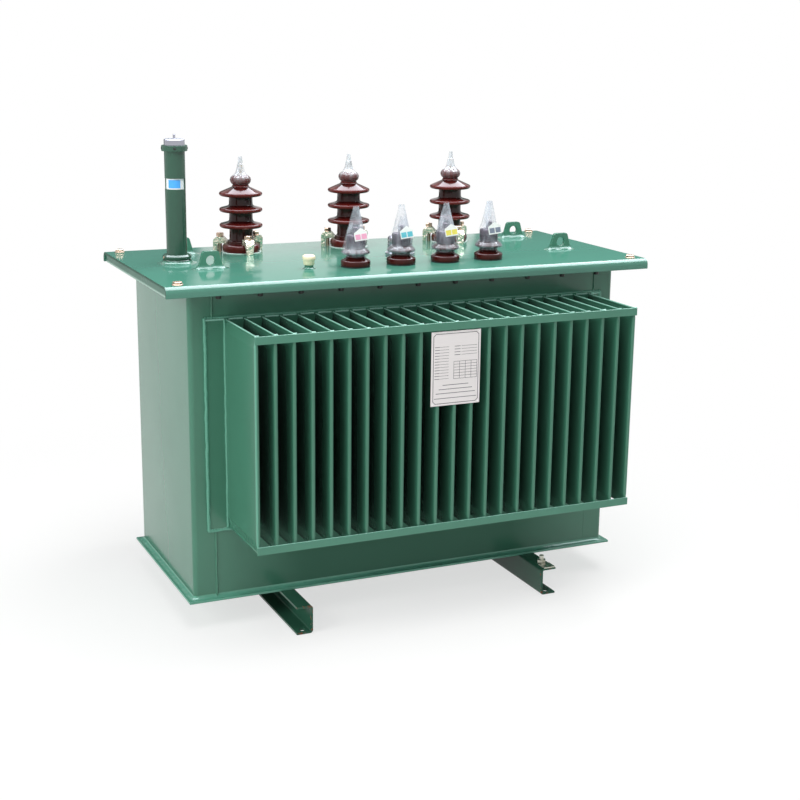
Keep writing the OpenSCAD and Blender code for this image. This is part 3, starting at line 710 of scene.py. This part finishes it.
plate_w = (plate_high[0] - plate_low[0]) / mm
plate_h = (plate_high[2] - plate_low[2]) / mm
frame_in = 5.5
cut = 6
heavy, medium, fine = 1.3, 1.2, 0.7
left, right = frame_in, plate_w - frame_in
low, high = frame_in, plate_h - frame_in
frame_corners = [(left + cut, low), (right - cut, low), (right, low + cut), (right, high - cut),
                 (right - cut, high), (left + cut, high), (left, high - cut), (left, low + cut)]
lines = [ruled(*a, *b, heavy) for a, b in zip(frame_corners, frame_corners[1:] + frame_corners[:1])]
row_h = 7
entry_top = plate_h - 37
for rows, columns in ((12, ((left + 4, left + 16, medium), (left + 18, left + 40, fine))),
                      (4, ((left + 56, left + 70, medium), (left + 74, right - 4, fine)))):
    for k in range(rows):
        z = entry_top - k * row_h
        lines += [ruled(x0, z, x1, z, width) for x0, x1, width in columns]
cell_rows, cell_columns, cell_line = 6, 4, 0.8
cells_left, cells_right = left + 54, right - 4
cells_top = plate_h - 74
for k in range(cell_rows + 1):
    z = cells_top - k * row_h
    lines.append(ruled(cells_left, z, cells_right, z, cell_line))
for k in range(cell_columns + 1):
    x = cells_left + (cells_right - cells_left) * k / cell_columns
    lines.append(ruled(x, cells_top - cell_rows * row_h, x, cells_top, cell_line))
for z, inset in ((50, 26), (40, 16), (30, 8), (18, 4)):
    lines.append(ruled(left + inset, z, right - inset, z, heavy))
made("nameplate_rules", lines, ink, "rubber")


def lathe(outline, at=(0, 0, 0), sides=64):
    """Turns an outline of (radius, height) in millimetres about the upright axis through at. It runs from
    the axis below, out and up, back to the axis; one that ends where it starts closes round a bore."""
    closed = outline[0] == outline[-1]
    points = []
    rings = []
    for r, z in outline[:-1] if closed else outline:
        count = sides if r > 0 else 1
        rings.append([len(points) + k % count for k in range(sides)])
        for k in range(count):
            a = 2 * pi * k / sides
            points.append((at[0] + r * mm * cos(a), at[1] + r * mm * sin(a), at[2] + z * mm))
    if closed:
        rings.append(rings[0])
    faces = []
    for lower, upper in zip(rings, rings[1:]):
        for i in range(sides):
            j = (i + 1) % sides
            faces.append(tuple(dict.fromkeys((lower[i], lower[j], upper[j], upper[i]))))
    return points, faces


def lying(shape, axis):
    """Tips an upright shape over until it points along the axis."""
    tip = Vector((0, 0, 1)).rotation_difference(Vector(axis)).to_matrix()
    return [tuple(tip @ Vector(point)) for point in shape[0]], shape[1]


# Fasteners of one kind stand on the points of a mesh, each turned to its own aim and then at
# random within the slack it has when it is tight.
tree, given = node_tree("set_of_bolts", ("Bolt", "Object"), ("Slack", "Float"), ("Plating", "Material"))
bolt_tree = tree
one_bolt = add(tree, "GeometryNodeObjectInfo", {"Object": given["Bolt"], "As Instance": True})
aim = add(tree, "GeometryNodeInputNamedAttribute", {"Name": "aim"}, data_type="FLOAT").outputs[0]
loose = add(tree, "FunctionNodeRandomValue", {
    2: 0.0, 3: given["Slack"], "Seed": 4}, data_type="FLOAT").outputs[1]
spun = add(tree, "FunctionNodeAxisAngleToRotation", {
    "Axis": (0, 0, 1), "Angle": sums(tree, "ADD", aim, loose)})
placed = add(tree, "GeometryNodeInstanceOnPoints", {
    "Points": given["Geometry"], "Instance": one_bolt.outputs["Geometry"], "Rotation": spun.outputs[0]})
add(tree, "NodeGroupOutput", {"Geometry": coated(tree, placed.outputs[0], given["Plating"])})


def fasten(name, shapes, places, material, slot="plated_bolts", aims=None, slack=pi / 3):
    """One fastener at each place, all in one piece; aims are their turns about the upright axis."""
    pattern = stand(name + "_pattern", joined(name + "_pattern", shapes, 25))
    spots = bpy.data.meshes.new(name)
    spots.from_pydata(places, [], [])
    if aims:
        spots.attributes.new("aim", "FLOAT", "POINT").data.foreach_set("value", aims)
    piece = grown(name, spots, bolt_tree, {"Bolt": pattern, "Slack": slack, "Plating": material})
    bpy.data.objects.remove(pattern)
    hand_over(piece, slot)


# Lacquered rivets: white domes that catch the light.
white_rivet = mottled("white_lacquered_rivet", "#F8F6F4", "#ECEAE8", 3, 0.02, 0.3)
rivet_head = lathe([(0, -0.3), (2.2, -0.3), (2.0, 0.3), (1.2, 0.7), (0, 0.8)], sides=16)
rivet_in = 4 * mm
rivet_places = [(x, plate_low[1], z) for x in (plate_low[0] + rivet_in, plate_high[0] - rivet_in)
                for z in (plate_low[2] + rivet_in, plate_high[2] - rivet_in)]
fasten("nameplate_rivets", [lying(rivet_head, (0, -1, 0))], rivet_places, white_rivet, "aluminium",
       slack=0.0)

# Cover flange and gasket
# The tank ends in a flat flange that carries the cover studs. A rubber gasket is pressed
# between it and the cover, and only its edge shows from below.

# Moulded rubber: black and dull, greyish in patches where it has bloomed.
black_rubber = mottled("black_rubber", "#161515", "#242322", 5, 0.15, 0.62)
dressed("tank_flange", 0.6, green_enamel)
dressed("cover_gasket", 0.8, black_rubber, "rubber")

# Cover
# A 6 mm plate with both long edges folded down in a wide radius, and a flat strip under
# each end. It is sprayed last and lies level, so its coat is the glossiest of all.

# Levelled enamel: a bluish, even green with the clearest mirror.
cover_enamel = enamel("levelled_green_enamel", "#4D8C7A", "#478472", index=1.22, gloss=0.13)
# Fold enamel: a little darker, with a bright line of sky along the bend and on the welds.
fold_enamel = enamel("fold_green_enamel", "#4A8270", "#447A68", index=1.5, gloss=0.16)
# Painted shade: a dark, dull green on the cut ends of the plate, for the shadow line under its edge.
end_face_shade_enamel = enamel("end_face_painted_shade_enamel", "#2B5344", "#254A3B", index=1.13, gloss=0.35)
# End strip: greyish green with a painted highlight, a paler rim along the lower edge.
end_enamel = enamel("end_strip_enamel", "#3E6B5A", "#375F50", index=1.2, gloss=0.3)
cover_low, cover_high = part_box("cover")
lip_z, top_z = cover_low[2], cover_high[2]
tinted(end_enamel, share_along(end_enamel, "Z", lip_z + 6 * mm, lip_z + 3 * mm), "#8FAC9F")
cover_mesh = dressed("cover", 0.8, cover_enamel).data
cover_mesh.materials.append(fold_enamel)
cover_mesh.materials.append(end_face_shade_enamel)
# The cut ends take the painted shade; the fold and the lips take the fold enamel.
for face in cover_mesh.polygons:
    if abs(face.normal.x) > 0.9:
        face.material_index = 2
    elif face.normal.z < 0.98:
        face.material_index = 1
dressed("cover_end_strips", 0.8, end_enamel)

# Cover fasteners
# Studs welded through the flange show only their tips and nuts under the lip. One plated
# bolt with a washer holds each corner from above.


def hex_head(across, height, z=0.0):
    """Hexagon with a broken upper edge, across its flats in millimetres."""
    corner = across / sqrt(3)
    return lathe([(0, z), (corner, z), (corner, z + 0.8 * height), (0.88 * corner, z + height),
                  (0, z + height)], sides=6)


def washer(r, t, z=0.0):
    """Round plate with a broken upper edge, in millimetres."""
    return lathe([(0, z), (r, z), (r, z + 0.8 * t), (r - 0.3 * t, z + t), (0, z + t)], sides=32)


# Passivated zinc: a metal mirror gone soft, from pink to straw yellow.
copper_plate = mottled("yellow_passivated_zinc", "#D3B2A4", "#AB977C", 10, 0.05, 0.3, Metallic=1.0)
# Blackened steel: dark grey, oily, with bare specks; on the stud nuts under the flange the dark grey is
# painted shade.
dark_steel_and_shade = mottled("blackened_steel_and_painted_shade", "#303332", "#464947", 5, 0.06, 0.45, Metallic=0.8)

under_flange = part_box("tank_flange")[0][2]
stud_y = cover_high[1] - 31 * mm
stud_x = cover_high[0] - 36 * mm
stud_step = 102.3 * mm
stud_shift = -2.5 * mm
studs_each_way = 5
end_stud_y = (-163 * mm, -54 * mm, 54 * mm, 163 * mm)
stud_places = [(stud_shift + k * stud_step, side * stud_y, under_flange)
               for k in range(-studs_each_way, studs_each_way + 1) for side in (-1, 1)]
stud_places += [(side * stud_x, y, under_flange) for side in (-1, 1) for y in end_stud_y]
stud_tip = lathe([(0, -18), (5.4, -18), (6.5, -17), (6.5, 0), (0, 0)], sides=24)
# The stud nuts under the flange are dark as painted shade.
fasten("cover_stud_nuts", [hex_head(19, 10, -10), stud_tip], stud_places, dark_steel_and_shade)
corner_places = [(sx * stud_x, sy * stud_y, top_z) for sx in (-1, 1) for sy in (-1, 1)]
fasten("cover_corner_bolts", [washer(13, 2.5), hex_head(19, 5.5, 2.5)], corner_places, copper_plate)

# Lifting lugs
# Four lugs burned from 10 mm plate, each with a shackle hole, welded to the cover with a
# heavy fillet all round.


def middle_of(node):
    """Middle of a CAD piece in plan."""
    low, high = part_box(node)
    return (low[0] + high[0]) / 2, (low[1] + high[1]) / 2


root_gap = 1.0 * mm
for node in ("lug_front_left", "lug_front_right", "lug_back_left", "lug_back_right"):
    dressed(node, 1.0, bar_enamel)
    lug_low, lug_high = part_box(node)
    half_l = (lug_high[0] - lug_low[0]) / 2 + root_gap
    half_w = (lug_high[1] - lug_low[1]) / 2 + root_gap
    fillet(node + "_weld", ring_path(half_l, half_w, top_z, 4 * mm, middle_of(node)), 14, 9, fold_enamel)

# High-voltage bushings
# Brown glazed porcelain with a round foot, a slim core, two thin sheds and a roof-shaped
# upper one. Three cast claws hold the foot down and a clear plastic cap guards the stud.


def arc(r, z, radius, start, end, steps=8):
    """Points of an arc about (r, z), from one angle to another in degrees."""
    turns = [radians(start + (end - start) * k / steps) for k in range(steps + 1)]
    return [(r + radius * cos(t), z + radius * sin(t)) for t in turns]


def turned(outline, middles, sides):
    """The same turned shape on the cover at each middle."""
    return [lathe(outline, (*middle, top_z), sides) for middle in middles]


def mark_rims(piece, middle, inner, outer, head_z=300):
    """Notes on each point how far it lies from core to rim; a head above head_z counts as thin too."""
    share = piece.data.attributes.new("rim", "FLOAT", "POINT")
    for point, value in zip(piece.data.vertices, share.data):
        r = hypot(point.co.x - middle[0], point.co.y - middle[1]) / mm
        share_out = 0.8 if point.co.z > top_z + head_z * mm else (r - inner) / (outer - inner)
        value.value = min(1.0, max(0.0, share_out))


# Glaze: wet dark brown, redder where it runs thin on the rims, as the mesh marks them.
brown_glaze, tree, shader = finish("brown_glazed_porcelain", Roughness=0.08, IOR=1.36)
rim = add(tree, "ShaderNodeAttribute", attribute_name="rim").outputs["Fac"]
flow = clouds_of(tree, add(tree, "ShaderNodeTexCoord").outputs["Object"], 30, 3)
thin = sums(tree, "ADD", rim, sums(tree, "MULTIPLY_ADD", flow, 0.3, -0.15), use_clamp=True)
drive(shader, Base_Color=blend(tree, thin, "#2E0E0D", "#611915"))

hv_core = 31
hv_shed = 56.5
hv_rim = 5.5
hv_head_z = 171


def hv_low_shed(z):
    """Thin shed with a round rim and a fillet above and below."""
    return ([(hv_core, z - 11), (hv_core + 1.2, z - 7), (hv_core + 4, z - 5.2)]
            + arc(hv_shed - hv_rim, z, hv_rim, -85, 68, 12)
            + [(hv_core + 8, z + 8.8), (hv_core + 3, z + 10.6), (hv_core + 0.8, z + 12.6),
               (hv_core, z + 16)])


hv_foot = ([(0, 0), (45.5, 0), (47.8, 2.5), (49.3, 6), (49.9, 10)] + arc(41.2, 13.2, 8.8, 0, 90, 8)
           + [(37.4, 22.4)] + arc(34.2, 28, 2.8, -20, 90, 6) + [(32.4, 31.4), (31.2, 34)])
hv_roof = ([(hv_core, 140.5), (hv_core + 1.2, 145.5), (hv_core + 4, 147.3)]
           + arc(hv_shed - hv_rim, 152.5, hv_rim, -85, 62, 12) + [(24, 170.4), (22.4, 171.6), (22, 172.6)])
hv_head = [(22, 174), (20.8, 175.2)] + arc(14.5, 188, 13, -65, 90, 14) + [(0, 201)]
hv_outline = hv_foot + hv_low_shed(70) + hv_low_shed(111.2) + hv_roof + hv_head
hv_nodes = ("hv_bushing_left", "hv_bushing_middle", "hv_bushing_right")
hv_middles = [middle_of(node) for node in hv_nodes]
for node, middle in zip(hv_nodes, hv_middles):
    bushing = made(node + "_piece", turned(hv_outline, [middle], 96), brown_glaze, "porcelain", node)
    mark_rims(bushing, middle, hv_core, hv_shed, hv_head_z)

# Cork and rubber seal: pale, matt and granular.
pale_seal = mottled("pale_cork_seal", "#B9C8C2", "#CFDCD6", 2.5, 0.25, 0.6)
seal_outline = [(49, 0), (52, 0), (52, 1.0), (51.4, 1.4), (49, 1.4), (49, 0)]
made("hv_seals", turned(seal_outline, hv_middles, 72), pale_seal, "rubber")

# Passivated castings: bright cream metal, its mirror broken up by the lumpy skin of the mould.
cast_zinc = mottled("passivated_cast_claw", "#F6F2E4", "#E6DCC2", 13, 10.0, 0.15, Metallic=0.8)
claw_r = 57 * mm
claw_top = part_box("hv_clamps")[1][2]
claw_turns = [radians(turn) for turn in (-90, 30, 150)]
claw_places = [(x + claw_r * cos(a), y + claw_r * sin(a), claw_top)
               for x, y in hv_middles for a in claw_turns]
claw_mesh = dressed("hv_clamps", 1.6, cast_zinc, "zinc_plate").data
# Each claw narrows towards its foot on the cover.
foot_share = 0.68
for point in claw_mesh.vertices:
    nearest = min(range(len(claw_places)), key=lambda k: (point.co.xy - Vector(claw_places[k][:2])).length)
    middle = Vector(hv_middles[nearest // len(claw_turns)])
    bolt = Vector(claw_places[nearest][:2])
    outward = (bolt - middle).normalized()
    beside = Vector((-outward.y, outward.x))
    share = foot_share + (1 - foot_share) * (point.co.z - top_z) / (claw_top - top_z)
    aside = (point.co.xy - bolt).dot(beside)
    point.co.xy = point.co.xy + beside * aside * (share - 1)
claw_h = (claw_top - top_z) / mm
claw_shank = lathe([(0, -claw_h), (5, -claw_h), (5, 0), (0, 0)], sides=20)
fasten("hv_claw_bolts", [claw_shank, washer(9.5, 2), hex_head(17, 8, 2)], claw_places, copper_plate)
# Brass: yellow metal dulled by handling.
brass = mottled("dull_brass", "#B39558", "#9B7D40", 6, 0.04, 0.35, Metallic=1.0)
dressed("hv_studs", 0.5, brass, "brass")


def see_through(name, code, roughness, fold, drawn_out, haze, low, high, thickness):
    """Clear plastic with whiter folds of so many millimetres, drawn out upwards. The haze gives the
    range of the folds and what they come to, the thickness its shares between two heights above the
    cover."""
    material, tree, shader = finish(name, Base_Color=linear(code), Roughness=roughness)
    place = add(tree, "ShaderNodeTexCoord").outputs["Object"]
    drawn_up = add(tree, "ShaderNodeMapping", {"Vector": place, "Scale": (1.0, 1.0, drawn_out)}).outputs[0]
    folds = ranged(tree, clouds_of(tree, drawn_up, fold, 2), *haze)
    height = add(tree, "ShaderNodeSeparateXYZ", {0: place}).outputs["Z"]
    ramp = add(tree, "ShaderNodeValToRGB", {0: ranged(tree, height, top_z + low * mm, top_z + high * mm)})
    stops = ramp.color_ramp.elements
    for up, share in thickness:
        stop = stops[0] if up == 0 else stops[-1] if up == 1 else stops.new(up)
        stop.color = (share, share, share, 1)
    drive(shader, Alpha=sums(tree, "MULTIPLY", folds, ramp.outputs[0]))
    return material


# Soft clear plastic: see-through where it clings to the porcelain, milky where it is drawn out above.
milky_cap = see_through("clear_soft_plastic", "#E6EAF0", 0.14, 8, 0.3, (0.38, 0.66, 0.45, 1.7), 189, 206,
                        ((0, 0.08), (1, 0.46)))
cap_t = 0.9
cap_top = 248.5
cap_outside = ([(19.6, 175.2)] + arc(14.5, 188.5, 13.6, -60, 40, 12)
               + [(20, 200.8), (16.4, 203.6), (13.2, 208), (10.6, 215.5), (8.8, 224), (8.1, 228.5),
                  (7.6, 229.6), (6.3, 231), (5.7, 240), (4.8, cap_top)])
cap_inside = [(r - cap_t, z - 0.4) for r, z in cap_outside]
hv_cap_outline = [(0, cap_top - cap_t)] + cap_inside[::-1] + cap_outside + [(0, cap_top)]
made("hv_caps_piece", turned(hv_cap_outline, hv_middles, 64), milky_cap, "clear_cap", "hv_caps")

# Low-voltage bushings
# Short brown bushings on rubber seals. Each terminal clamp is wrapped in a clear film
# sleeve tied under the shed, with a card that carries two marks in the phase colour.

lv_nodes = ("lv_bushing_1", "lv_bushing_2", "lv_bushing_3", "lv_bushing_4")
lv_middles = [middle_of(node) for node in lv_nodes]
lv_core = 23
lv_glaze_out = 62
lv_outline = ([(0, 3)] + arc(35, 5, 2, -90, 0, 4) + arc(32.5, 13, 4.5, 0, 66, 6)
              + [(27.6, 20.6), (24.4, 23.4), (lv_core, 26), (lv_core, 29.6), (24.4, 32)]
              + arc(31.5, 36.5, 3.5, -75, 60, 10) + [(29, 43.4), (25, 46), (21, 47.5), (0, 47.5)])
for node, middle in zip(lv_nodes, lv_middles):
    bushing = made(node + "_piece", turned(lv_outline, [middle], 80), brown_glaze, "porcelain", node)
    mark_rims(bushing, middle, lv_core, lv_glaze_out)
dressed("lv_seals", 0.6, black_rubber, "rubber")
# Tinned bronze: a dark lilac grey, cloudy as a dipped casting is.
dark_clamp = mottled("tinned_bronze_clamp", "#3C333E", "#584D5A", 9, 0.25, 0.45, Metallic=0.3)
clamp_outline = [(0, 47.5), (22.4, 47.5), (23.4, 49), (23.4, 75.5), (21.8, 78), (14, 79.5),
                 (8, 80.5), (8, 97), (6.8, 98), (0, 98)]
made("lv_terminals_piece", turned(clamp_outline, lv_middles, 40), dark_clamp, "brass", "lv_terminals")

# Clear film: hardly there where it is flat, white along its folds, which run up the sleeve.
film_top = 150
film = see_through("clear_film", "#DDE3EE", 0.12, 13, 0.22, (0.42, 0.72, 0.1, 0.5), 0, film_top,
                   ((0, 0.6), (0.3, 0.6), (0.36, 0.3), (0.5, 0.3), (0.6, 1.0)))
film_t = 0.5
film_foot = [(24.2, 26.5), (24.6, 29), (27, 31.4), (33, 32)] + arc(31.5, 36.5, 5, -60, 30, 6)
straight_film = [(34, 44), (24.6, 80), (8.4, 144), (8, 149.5)]
hugging_film = [(30, 47), (26, 52), (25.4, 60), (25, 79), (19.6, 95), (8.4, 146), (8, 149.5)]
crumple = 24 * mm
crumple_push = 2.2 * mm
loose_from, mouth_from = 0.2, 0.6
mouth_flat = 0.45
# A fixed seed, so that every run folds the film alike.
noise.seed_set(4)


def crumpled(shape, middle, seed):
    """Pushes the points of a film sleeve about, more on the loose upper part, and flattens its mouth."""
    points = []
    for x, y, z in shape[0]:
        up = (z - top_z) / (film_top * mm)
        wander = noise.noise_vector(Vector((x, y, z)) / crumple + Vector((seed, 0, 0)))
        push = wander * crumple_push * max(0.0, up - loose_from)
        flat = 1 - mouth_flat * max(0.0, up - mouth_from) / (1 - mouth_from)
        points.append((x + push.x, middle[1] + (y - middle[1]) * flat + push.y, z + min(0.0, push.z)))
    return points, shape[1]


sleeves = []
for i, middle in enumerate(lv_middles):
    outside = film_foot + (straight_film if i % 2 == 0 else hugging_film)
    inside = [(r - film_t, z) for r, z in outside]
    loop = outside + inside[::-1] + outside[:1]
    sleeves.append(crumpled(lathe(loop, (*middle, top_z), 48), middle, 3 * i))
made("lv_caps_piece", sleeves, film, "clear_cap", "lv_caps", sharp=60)

# Card: white, matt, with a slight tooth.
white_card = mottled("white_card", "#F7F7F5", "#F0F0EE", 2, 0.05, 0.5)
card_turn = radians(24)
card_lean = radians(10)
card_across, card_up = 13, 84
card_back, card_front = 30, 30.6
ink_back, ink_front = 30.3, 30.8
card_right = Vector((cos(card_turn), -sin(card_turn), 0))
card_out = Vector((-sin(card_turn), -cos(card_turn), 0))
card_shape = ((-16.5, -15), (16.5, -15), (16.5, 5), (2, 16), (-16.5, 5))


def card_piece(outline, middle, back, front):
    """Flat piece on a bushing's card: outline from the card's middle, faces so far off the axis."""
    points = []
    for out in (back, front):
        for x, z in outline:
            across = card_across + x * cos(card_lean) - z * sin(card_lean)
            up = card_up + x * sin(card_lean) + z * cos(card_lean)
            place = Vector((*middle, top_z)) + (card_right * across + card_out * out) * mm
            points.append(tuple(place + Vector((0, 0, up * mm))))
    count = len(outline)
    ends = [tuple(reversed(range(count))), tuple(range(count, 2 * count))]
    return points, ends + skin(2, count)


cards = [card_piece(card_shape, middle, card_back, card_front) for middle in lv_middles]
made("lv_cards", cards, white_card, "cream_plastic")
# Stamped ink: a flat tint that thins to paler spots where the stamp missed.
phase_inks = (("pink", "#EE98BC", "#F6B8D2"), ("cyan", "#4CB4C8", "#78CAD6"),
              ("yellow", "#E9D640", "#F0E47C"), ("grey", "#686F82", "#8D95A6"))
mark_low, mark_high = -12, 1
mark_w = 13
for middle, (name, full, thin) in zip(lv_middles, phase_inks):
    phase_ink = mottled(name + "_print", full, thin, 5, 0.02, 0.5)
    patches = []
    for x in (-14, 1):
        mark = [(x, mark_low), (x + mark_w, mark_low), (x + mark_w, mark_high), (x, mark_high)]
        patches.append(card_piece(mark, middle, ink_back, ink_front))
    made("lv_mark_" + name, patches, phase_ink, "rubber")

# Filler and oil-level tube
# A steel tube screwed on a welded ring, with a sight window cut into its front, a collar
# with set screws at the top and a turned aluminium cap.

# Tube enamel: a deep green with a narrow bright streak down the round.
tube_enamel = enamel("tube_green_enamel", "#305746", "#2A4E3F", gloss=0.16)
for node in ("filler_tube", "filler_collar"):
    dressed(node, 0.8, tube_enamel)
filler_middle = middle_of("filler_tube")
ring_r = 36
foot_outline = [(0, 0), (ring_r, 0), (ring_r, 8.6), (ring_r - 1, 9.6), (ring_r - 2.6, 9.8),
                (ring_r - 2.6, 12.4), (ring_r - 1, 12.6), (ring_r, 13.6), (ring_r, 18.6),
                (ring_r - 4.4, 22.5), (0, 22.5)]
made("filler_foot_piece", turned(foot_outline, [filler_middle], 72), tube_enamel, "green_paint",
     "filler_foot", sharp=30)
foot_ring = ring_path(ring_r * mm, ring_r * mm, top_z, ring_r * mm, filler_middle)
fillet("filler_foot_weld", foot_ring, 14, 8, fold_enamel)
# Opal glass: milky white and smooth.
white_glass = mottled("white_sight_tube", "#F2F5F7", "#E8EEF1", 12, 0.02, 0.12)
dressed("filler_sight_tube", 0.4, white_glass, "sight_tube")
# Turned aluminium: bluish metal with the fine level rings that the tool leaves.
turned_aluminium = mottled("turned_aluminium", "#B4B4BE", "#9D9DA7", 1.6, 0.08, 0.28, (0.03, 0.03, 1),
                           Metallic=1.0)
dressed("filler_cap", 0.6, turned_aluminium, "aluminium")


def round_tube(r, z, turns):
    """Places about the tube's axis at a radius and a height above the cover in millimetres."""
    x, y = filler_middle
    return [(x + r * mm * cos(a), y + r * mm * sin(a), top_z + z * mm) for a in turns]


def middle_z(node):
    """Height of a CAD piece's middle above the cover in millimetres."""
    low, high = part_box(node)
    return ((low[2] + high[2]) / 2 - top_z) / mm


def half_width(node):
    """Half of a CAD piece's width in millimetres."""
    low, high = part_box(node)
    return (high[0] - low[0]) / 2 / mm


# The level shows as a blue band on the glass, on the side of the window.
glass_r = half_width("filler_sight_tube")
glass_z = middle_z("filler_sight_tube")
band_half_h = 10
band_steps = 12
band_turn, band_spread = -112, 40
band_turns = [radians(band_turn + band_spread * (2 * k / band_steps - 1)) for k in range(band_steps + 1)]
band_in, band_out = glass_r - 0.4, glass_r + 0.5
band_points = []
for r, up in ((band_in, -1), (band_out, -1), (band_out, 1), (band_in, 1)):
    band_points += round_tube(r, glass_z + up * band_half_h, band_turns)
per_row = len(band_turns)
band_ends = [tuple(row * per_row for row in (3, 2, 1, 0)),
             tuple((row + 1) * per_row - 1 for row in range(4))]
band_faces = skin(4, per_row, rows_close=True, width_closes=False) + band_ends
# Tinted glass: clear light blue, a little paler where the oil is thin.
blue_level = mottled("blue_level_glass", "#42A2F2", "#54AFF8", 9, 0.02, 0.15)
made("filler_level_band", [(band_points, band_faces)], blue_level, "sight_tube")


def screw(head_r, proud, sunk=2.0):
    """Round screw end that stands out along X, sizes in millimetres."""
    outline = [(0, -sunk), (head_r, -sunk), (head_r, 0.6 * proud), (0.7 * head_r, proud), (0, proud)]
    return lying(lathe(outline, sides=20), (1, 0, 0))


ring_screw_z = 15.5
collar_r = half_width("filler_collar")
collar_z = middle_z("filler_collar")
for name, head, r, z, turns, plating in (
        ("filler_set_screws", screw(3.2, 0.8), collar_r, collar_z, (-195, -105, -15, 75), dark_steel_and_shade),
        ("filler_ring_screw", screw(3.4, 1.5), ring_r, ring_screw_z, (-170,), copper_plate)):
    aims = [radians(turn) for turn in turns]
    fasten(name, [head], round_tube(r, z, aims), plating, aims=aims, slack=0.0)

# Thermometer pocket
# A short neck welded into the cover for a thermometer, with a cream plastic mushroom cap
# pushed over it.

dressed("pocket_neck", 0.5, green_enamel)
pocket_middle = middle_of("pocket_neck")
neck_r = 11 * mm
fillet("pocket_neck_weld", ring_path(neck_r, neck_r, top_z, neck_r, pocket_middle), 8, 5, fold_enamel)
# Moulded plastic: cream, satin, faintly clouded by the sun.
cream_plastic = mottled("cream_plastic", "#F9E9CA", "#F4E1BB", 7, 0.06, 0.35)
pocket_cap_outline = [(0, 10), (12.8, 10), (13.6, 10.8), (13.8, 18.5), (14.6, 20.8), (15.8, 22.4),
                      (16.3, 25), (16.2, 29), (15.2, 32), (13, 33.9), (9, 34.5), (0, 34.5)]
made("pocket_cap_piece", turned(pocket_cap_outline, [pocket_middle], 48), cream_plastic, "cream_plastic",
     "pocket_cap", sharp=50)

# Pressure relief valve
# A die-cast spring housing on a screwed foot, behind the second low-voltage bushing,
# that lets go when the sealed tank is under too much pressure.

dressed("pressure_relief_valve", 0.8, turned_aluminium, "aluminium")
